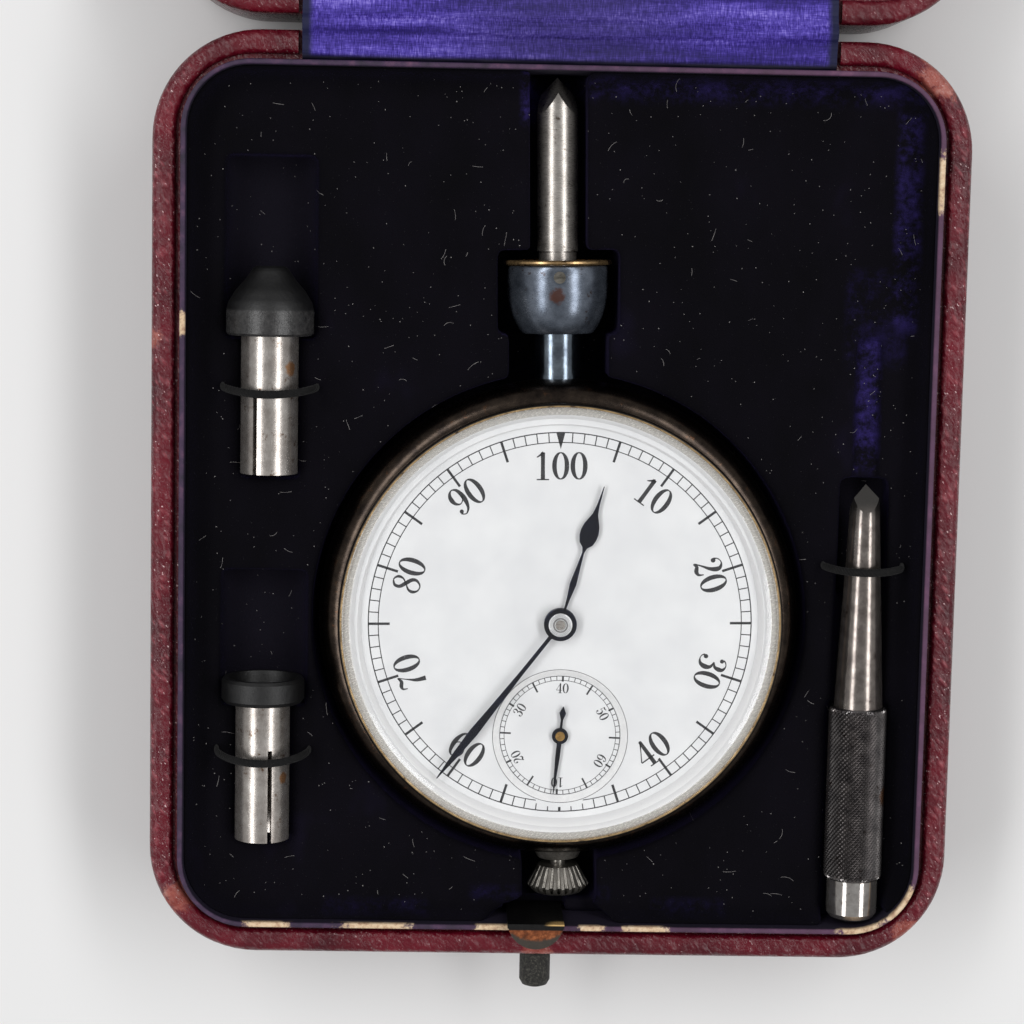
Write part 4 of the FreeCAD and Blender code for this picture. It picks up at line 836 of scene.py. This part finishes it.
# Each figure's strokes in a box 1 high: (across, up, half width) points along a stroke, and a single
# (across, up, radius) point for a ball. A nine is a six turned upside down.
FIGURES = {
    "0": [oval()],
    "1": [[(0.32, 0.02, 0.075), (0.32, 0.5, 0.07), (0.32, 0.97, 0.075)],
          [(0.10, 0.80, 0.018), (0.20, 0.86, 0.03), (0.34, 0.97, 0.045)],
          [(0.10, 0.02, 0.022), (0.54, 0.02, 0.022)]],
    "2": [[(0.15, 0.73, 0.085)],
          [(0.09, 0.76, 0.03), (0.14, 0.90, 0.02), (0.30, 0.98, 0.022), (0.46, 0.90, 0.06),
           (0.49, 0.74, 0.085), (0.40, 0.52, 0.06), (0.22, 0.28, 0.03), (0.07, 0.06, 0.02)],
          [(0.07, 0.03, 0.03), (0.20, 0.11, 0.06), (0.36, 0.05, 0.075), (0.50, 0.09, 0.045),
           (0.55, 0.27, 0.015)]],
    "3": [[(0.15, 0.80, 0.075)],
          [(0.10, 0.86, 0.03), (0.18, 0.95, 0.02), (0.31, 0.98, 0.022), (0.45, 0.90, 0.06),
           (0.47, 0.76, 0.08), (0.42, 0.61, 0.05), (0.26, 0.54, 0.018)],
          [(0.26, 0.54, 0.018), (0.46, 0.46, 0.055), (0.51, 0.27, 0.09), (0.44, 0.09, 0.06),
           (0.28, 0.02, 0.022), (0.14, 0.06, 0.02), (0.08, 0.15, 0.03)],
          [(0.14, 0.20, 0.08)]],
    "4": [[(0.44, 0.98, 0.03), (0.24, 0.64, 0.018), (0.03, 0.30, 0.022)],
          [(0.03, 0.29, 0.024), (0.58, 0.29, 0.024)],
          [(0.42, 0.02, 0.075), (0.42, 0.5, 0.072), (0.42, 0.97, 0.06)],
          [(0.24, 0.02, 0.022), (0.58, 0.02, 0.022)]],
    "5": [[(0.13, 0.96, 0.02), (0.12, 0.75, 0.018), (0.11, 0.52, 0.02)],
          [(0.13, 0.92, 0.05), (0.30, 0.90, 0.06), (0.50, 0.97, 0.02)],
          [(0.11, 0.52, 0.02), (0.28, 0.61, 0.03), (0.45, 0.54, 0.065), (0.52, 0.33, 0.09),
           (0.44, 0.11, 0.06), (0.28, 0.02, 0.022), (0.14, 0.06, 0.02), (0.08, 0.15, 0.03)],
          [(0.14, 0.19, 0.08)]],
    "6": [[(0.45, 0.83, 0.075)],
          [(0.50, 0.88, 0.03), (0.42, 0.96, 0.02), (0.31, 0.97, 0.025), (0.16, 0.82, 0.05),
           (0.09, 0.48, 0.085), (0.15, 0.14, 0.055), (0.31, 0.02, 0.022), (0.46, 0.12, 0.055),
           (0.51, 0.31, 0.08), (0.46, 0.50, 0.05), (0.32, 0.59, 0.022), (0.18, 0.52, 0.02),
           (0.10, 0.38, 0.03)]],
    "7": [[(0.07, 0.74, 0.015), (0.10, 0.90, 0.035), (0.22, 0.93, 0.065), (0.38, 0.88, 0.06),
           (0.54, 0.97, 0.022)],
          [(0.54, 0.96, 0.018), (0.40, 0.66, 0.022), (0.28, 0.36, 0.06), (0.25, 0.02, 0.085)]],
    "8": [[(0.30, 0.98, 0.022), (0.14, 0.88, 0.05), (0.14, 0.70, 0.06), (0.30, 0.54, 0.07),
           (0.49, 0.36, 0.065), (0.52, 0.20, 0.05), (0.42, 0.06, 0.03), (0.30, 0.02, 0.022),
           (0.16, 0.07, 0.03), (0.08, 0.22, 0.055), (0.12, 0.38, 0.04), (0.30, 0.52, 0.02),
           (0.45, 0.66, 0.03), (0.48, 0.82, 0.05), (0.40, 0.94, 0.03), (0.30, 0.98, 0.022)]],
}


def dial_print():
    """The main scale: two circles, a hundred divisions, and tens up to a hundred."""
    scale = Figures(HUB, DIAL_TURN, DIAL_TOP + INK_LIFT)
    outer, inner, divisions = 24.2, 22.95, 100
    long_tick, broad, fine = 2.7, 0.32, 0.13
    number_radius, number_size = 20.0, 3.6
    ring_clear, tick_clear = 8.78, 9.15        # radii about the small dial that the print keeps out of
    x, y = SUB_HUB[0] - HUB[0], SUB_HUB[1] - HUB[1]
    opening = (x * scale.cosine + y * scale.sine, y * scale.cosine - x * scale.sine)
    scale.ring(outer, 0.14)
    scale.ring(inner, 0.11, lambda place: math.dist(place, opening) > ring_clear)
    for division in range(divisions):
        angle = division * (360 / divisions)
        fifth = division % 5 == 0
        reach = outer - long_tick if fifth else inner
        while math.dist(clock(angle, reach), opening) < tick_clear:
            reach += 0.05
        if division:
            scale.tick(angle, reach, outer, broad if fifth else fine)
    scale.wedge(0, outer - 2.1, outer, 1.15)
    for ten in (1, 2, 3, 4, 6, 7, 8, 9, 10):
        scale.number(str(ten * 10), ten * 36, number_radius, number_size, inward=ten in (4, 6))
    scale.finish("dial_figures", "ink", "counter")


def small_dial_print():
    """The small sunk scale of sixty divisions, its opening's bevel and a fine grey line round it that is
    painted shade at the step down.
    """
    scale = Figures(SUB_HUB, SUB_TURN, SUB_TOP + INK_LIFT)
    outer, inner, number_radius, number_size = 7.65, 7.1, 6.1, 1.3
    scale.ring(outer, 0.09)
    scale.ring(inner, 0.07)
    for division in range(60):
        if division % 10 == 0:
            start, width = inner - 0.15, 0.24
        elif division % 5 == 0:
            start, width = outer - 1.4, 0.22
        else:
            start, width = inner, 0.09
        scale.tick(division * 6, start, outer, width)
    for place, number in enumerate((40, 50, 60, 10, 20, 30)):
        scale.number(str(number), place * 60, number_radius, number_size)
    scale.finish("small_dial_figures", "ink", "counter")
    bevel = [(7.78, SUB_TOP + 0.02), (8.1, SUB_TOP + 0.3), (OPENING, DIAL_TOP + 0.015),
             (OPENING + 0.1, DIAL_TOP + 0.015)]
    lathe("small_dial_bevel", bevel, SUB_HUB, "bevel", "counter")
    # painted shade: a grey line where the dial steps down into the opening
    line = Figures(SUB_HUB, 0, DIAL_TOP + 2 * INK_LIFT)
    line.ring(OPENING + 0.12, 0.09)
    line.finish("small_dial_line", "shade", "counter")


def dial_surround():
    """The white tension ring between the dial and the bezel."""
    profile = [(25.1, DIAL_TOP + 0.02), (25.3, DIAL_TOP + 0.25), (26.2, DIAL_TOP + 0.85),
               (27.1, DIAL_TOP + 1.6), (27.34, DIAL_TOP + 1.75)]
    lathe("dial_ring", profile, HUB, "surround", "counter")


def small_hand_boss():
    """The gilt bush at the centre of the small hand."""
    top = corners("small_hand")[1][2]
    profile = [(0.001, top + 0.02), (0.08, top + 0.02), (0.09, top + 0.12), (0.18, top + 0.12),
               (0.22, top + 0.08), (0.23, top - 0.05)]
    lathe("small_hand_bush", profile, SUB_HUB, "gilt", "register", 40)


def collar_bell():
    """The bell-shaped collar about the neck's own line: full at its sides and drawn in to a flat end."""
    ring, neck, up = Vector(middle("collar_ring")), Vector(middle("neck_tube")), Vector((0, 0, 1))
    heading = (neck - ring).normalized()
    side = up.cross(heading).normalized()
    length, widest, drawn_in, bore, start = 8.9, 6.45, 1.9, 3.25, 0.9
    profile = [(0.35, 2.95), (0.35, 6.1), (0.42, 6.3), (0.6, 6.4)]
    for step in range(25):
        share = step / 24
        profile.append((start + (length - start) * share, widest - drawn_in * share ** 3.2))
    profile += [(length + 0.08, widest - drawn_in - 0.15), (length + 0.08, bore), (3.4, bore), (3.4, 2.95)]
    steps = 120
    verts = []
    for step in range(steps):
        turn = math.tau * step / steps
        out = side * math.cos(turn) + up * math.sin(turn)
        verts += [ring + heading * along + out * radius for along, radius in profile]
    faces = net(steps, len(profile), looped=True, closed=True, turned=True)
    bell = new_piece("collar_bell", verts, faces, "blued", "counter")
    smooth_faces(bell, CREASE)
    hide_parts("collar_cup")


def elastic_bands():
    """The thin elastic cords over the tips and the probe, each pulled a little towards the latch."""
    around, steps, half_width, half_thickness = 12, 48, 0.5, 0.3
    swung, sunk, tucked, below_top = 100, 0.4, 2, 0.32    # the ends dip past level and tuck into the velvet
    side = Vector((0, 1, 0))
    for name, sag in (("cone", 0.7), ("cup", 0.9), ("probe", 0.4)):
        low, high = corners("elastic_loop_" + name)
        across, along = (low[0] + high[0]) / 2, (low[1] + high[1]) / 2
        top = high[2] - below_top
        half = (high[0] - low[0]) / 2 - half_thickness
        path = []
        for step in range(steps + 1):
            swing = math.radians(-swung + 2 * swung * step / steps)
            rise = math.cos(swing)
            height = PAD_TOP - sunk + (top - PAD_TOP + sunk) * max(rise, 0) ** 0.75 + min(rise, 0) * tucked
            place = (across + half * math.sin(swing), along + sag * (0.45 - max(rise, 0) ** 2), height)
            path.append(Vector(place))
        verts = []
        for k, point in enumerate(path):
            lift = side.cross(path[min(k + 1, steps)] - path[max(k - 1, 0)]).normalized()
            for j in range(around):
                turn = math.tau * j / around
                out = side * half_width * math.cos(turn)
                verts.append(point + out + lift * half_thickness * math.sin(turn))
        faces = net(len(path), around, closed=True)
        band = new_piece("elastic_band_" + name, verts, faces, "elastic", "case")
        smooth_faces(band)
        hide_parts("elastic_loop_" + name)


def knurled_grip():
    """The probe's grip: a cylinder cut by two crossing screws into small diamonds."""
    low, high = corners("probe_grip")
    centre = middle("probe_grip")
    radius = (high[0] - low[0]) / 2
    diamonds, fine, depth, chamfer = 38, 4, 0.28, 0.45
    rows = round((high[1] - low[1]) / (math.tau * radius / diamonds))
    count = diamonds * fine
    verts = []
    for row in range(rows * fine + 1):
        along = row / fine
        y = low[1] + (high[1] - low[1]) * along / rows
        shy = max(0.0, chamfer - min(y - low[1], high[1] - y))
        for step in range(count):
            around = step / fine
            ridges = [1 - abs((around + s * along) % 1 * 2 - 1) for s in (1, -1)]
            reach = radius - shy - depth * (1 - min(ridges)) * (shy < chamfer * 0.6)
            turn = math.tau * step / count
            verts.append((centre[0] + reach * math.cos(turn), y, centre[2] + reach * math.sin(turn)))
    faces = net(rows * fine + 1, count, closed=True)
    for row, turned in ((0, 1), (rows * fine, -1)):
        faces.append(tuple(range(row * count, row * count + count))[::turned])
    grip = new_piece("grip_knurl", verts, faces, "grip", "probe")
    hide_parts("probe_grip")


def lint(pad):
    """Dust and short fibres caught on the velvet."""
    chance = random.Random(11)
    tree = BVHTree.FromObject(pad, bpy.context.evaluated_depsgraph_get())
    verts, faces = [], []
    low, high = corners("velvet_pad")
    above, count, every = 30, 1300, 8          # every so many of them is a fibre, the rest are specks
    for kind in range(count):
        fibre = kind % every == 0
        x, y = chance.uniform(low[0] + 1, high[0] - 1), chance.uniform(low[1] + 1, high[1] - 1)
        heading = chance.uniform(0, math.tau)
        bend = chance.gauss(0, 0.8) if fibre else 0
        length = chance.uniform(0.4, 1.8) if fibre else chance.uniform(0.05, 0.16)
        thick = 0.018 if fibre else chance.uniform(0.02, 0.05)
        pieces = 8 if fibre else 2
        first = len(verts)
        rings = 0
        while rings <= pieces:
            hit = tree.ray_cast(Vector((x, y, above)) * MM, Vector((0, 0, -1)))[0]
            if hit is None:
                break
            height = hit.z / MM + thick
            dx, dy = math.sin(heading) * thick, -math.cos(heading) * thick
            verts += [(x + dx, y + dy, height), (x, y, height + thick), (x - dx, y - dy, height)]
            rings += 1
            x += math.cos(heading) * length / pieces
            y += math.sin(heading) * length / pieces
            heading += bend / pieces
        for ring in range(rings - 1):
            a = first + ring * 3
            faces += [(a, a + 1, a + 4, a + 3), (a + 1, a + 2, a + 5, a + 4)]
    new_piece("velvet_lint", verts, faces, "lint", "case")


def softened(name, new_name, voxel_size, passes):
    """A loose copy of a piece with an even net of small faces and relaxed edges."""
    piece = placed(new_name, nodes[name].data.copy())
    voxel = piece.modifiers.new("voxel", "REMESH")
    voxel.mode = "VOXEL"
    voxel.voxel_size = voxel_size * MM
    relax = piece.modifiers.new("relax", "SMOOTH")
    relax.factor = 0.5
    relax.iterations = passes
    apply_modifiers(piece)
    return piece


def rise_by_lip(x, y, low, high):
    """How far the velvet between these corners climbs where it meets the lip, in millimetres."""
    corner, reach, climb = 8.0, 2.6, LIP_TOP - 0.9 - PAD_TOP
    dx = max(0.0, abs(x - (high[0] + low[0]) / 2) - (high[0] - low[0]) / 2 + corner)
    dy = max(0.0, abs(y - (high[1] + low[1]) / 2) - (high[1] - low[1]) / 2 + corner)
    inside = corner - (math.hypot(dx, dy) if dx and dy else max(dx, dy))
    return climb * min(1.0, max(0.0, 1 - inside / reach)) ** 2


def velvet_pad():
    """The fitted velvet: soft, uneven rolled edges at the hollows, and turned up against the lip."""
    pad = softened("velvet_pad", "velvet_lining", 0.40, 7)
    low, high = corners("velvet_pad")
    latch_low, latch_high = corners("latch_catch")
    blade = middle("latch_catch")[0]
    swept = latch_high[1] + LATCH_TRAVEL + 0.35        # the pad's wall, clear of the blade's travel
    face = 14.6                                        # only the pad's upper face lies above this
    worn, uneven, waves = 0.10, 0.12, 0.16
    flat_half, run_out = 5.0, 2.0                      # the pad doesn't climb the lip beside the blade
    for vertex in pad.data.vertices:
        place = vertex.co / MM
        if place.z > face:
            sink = worn + uneven * noise.noise(Vector((place.x, place.y, 0)) * waves)
            beside = (abs(place.x - blade) - flat_half) / run_out if place.y < 0 else 1.0
            climb = rise_by_lip(place.x, place.y, low, high) * min(1.0, max(0.0, beside))
            vertex.co.z += (climb - sink) * MM
        by_blade = latch_low[0] - 0.6 < place.x < latch_high[0] + 0.6 and place.z > latch_low[2] - 0.5
        if by_blade and latch_high[1] < place.y < swept:
            vertex.co.y = swept * MM
    smooth_faces(pad)
    wear(pad, "velvet")
    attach(pad, "case")
    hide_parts("velvet_pad")
    return pad


def lid_cushion():
    """The lid's cushion: a flat pad, crowned a little and drawn in at its edge."""
    cushion = softened("lid_cushion", "lid_padding", 0.9, 12)
    low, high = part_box("lid_cushion")
    centre = [(a + b) / 2 for a, b in zip(low, high)]
    half = [(b - a) / 2 for a, b in zip(low, high)]
    drawn_in, crowned, puckered = 0.9, 0.75, 0.25
    for vertex in cushion.data.vertices:
        if vertex.co.z > centre[2]:
            across = min(1, abs(vertex.co.x - centre[0]) / half[0])
            along = min(1, abs(vertex.co.y - centre[1]) / half[1])
            crown = (1 - across ** 6) * (1 - along ** 6)
            pucker = noise.noise(vertex.co * 90) * puckered
            vertex.co.z += (-drawn_in + crowned * crown + pucker) * MM
    smooth_faces(cushion)
    wear(cushion, "velvet")
    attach(cushion, "lid")
    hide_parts("lid_cushion")


def satin_sheet():
    """The satin ribbon, glued to both rims and bridging the hinge between them."""
    left, right, hinge_y, columns, fineness = -32.5, 33.5, 59.0, 150, 5
    rim = [(54.5, 17.1), (54.55, 17.55), (54.8, 17.95), (55.6, 18.12), (56.8, 18.2), (57.8, 18.5),
           (58.4, 18.95)]
    thickness = 0.18
    profile = rim + [(hinge_y, 19.2)] + [(2 * hinge_y - y, z) for y, z in reversed(rim)]
    fine = []
    for start, end in zip(profile, profile[1:]):
        for k in range(fineness):
            fine.append([a + (b - a) * k / fineness for a, b in zip(start, end)])
    fine.append(list(profile[-1]))
    verts = []
    for column in range(columns + 1):
        x = left + (right - left) * column / columns
        sway = 0.12 * noise.noise(Vector((x * 0.2, 0, 7)))
        for y, z in fine:
            ripple = 0.10 * noise.noise(Vector((x * 0.09, y * 0.9, 0)))
            ripple += 0.05 * noise.noise(Vector((x * 0.6, y, 3)))
            verts.append((x, y + sway, z + ripple))
    faces = net(columns + 1, len(fine), turned=True)
    ribbon = new_piece("satin_ribbon", verts, faces, "satin", None)
    thick = ribbon.modifiers.new("thick", "SOLIDIFY")
    thick.thickness = thickness * MM
    thick.offset = 0
    apply_modifiers(ribbon)
    smooth_faces(ribbon, 60)
    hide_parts("satin_strip_base", "satin_strip_lid")
    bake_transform(ribbon)


# ---- light and camera -----------------------------------------------------------------------------------
def place_camera():
    """The main view: nearly straight down, from a little behind and to the left."""
    pitch, yaw, roll = -0.1139, -0.0259, 0.0168
    place = (-0.013932, 0.035623, 0.338)
    focal_pixels, frame_pixels, sensor = 2560.68, 1024, 36
    camera = placed("camera", bpy.data.cameras.new("camera"))
    turn = Matrix.Rotation(pitch, 4, "X") @ Matrix.Rotation(yaw, 4, "Y") @ Matrix.Rotation(roll, 4, "Z")
    camera.matrix_world = Matrix.Translation(place) @ turn
    camera.data.sensor_width = sensor
    camera.data.lens = focal_pixels / frame_pixels * sensor
    camera.data.clip_start = 0.01
    camera.data.clip_end = 20
    bpy.context.scene.camera = camera


def lamp(name, place, size, power):
    """A soft rectangular white lamp, turned to the origin."""
    data = bpy.data.lights.new(name, "AREA")
    data.shape = "RECTANGLE"
    data.size, data.size_y = size
    data.energy = power
    thing = placed(name, data)
    thing.location = place
    thing.rotation_euler = (-Vector(place)).to_track_quat("-Z", "Y").to_euler()


def stage():
    """Pale floor, two soft lamps and a pale surround."""
    pale, reach, below = (0.80, 0.80, 0.80, 1), 3, -0.0001
    mesh = bpy.data.meshes.new("floor")
    square = [(-reach, -reach, below), (reach, -reach, below), (reach, reach, below), (-reach, reach, below)]
    mesh.from_pydata(square, [], [(0, 1, 2, 3)])
    floor = placed("floor", mesh)
    cloth = bpy.data.materials.new("floor_pale")
    cloth.use_nodes = True
    shader = cloth.node_tree.nodes["Principled BSDF"]
    shader.inputs["Base Color"].default_value = pale
    shader.inputs["Roughness"].default_value = 0.9
    mesh.materials.append(cloth)
    aside, back, up, size, power = 0.59, 0.10, 0.81, (1.5, 0.24), 5.9
    for name, side in (("lamp_left", -1), ("lamp_right", 1)):
        lamp(name, (side * aside, back, up), size, power)
    world = bpy.data.worlds.new("surround")
    bpy.context.scene.world = world
    world.use_nodes = True
    background = world.node_tree.nodes["Background"]
    background.inputs["Color"].default_value = pale
    background.inputs["Strength"].default_value = 0.43
    bpy.context.scene.view_settings.view_transform = "Standard"


def main():
    """Dress the whole object."""
    place_camera()
    stage()
    dress()
    round_off()
    lint(velvet_pad())
    lid_cushion()
    satin_sheet()
    elastic_bands()
    dial_print()
    small_dial_print()
    dial_surround()
    small_hand_boss()
    collar_bell()
    knurled_grip()


main()
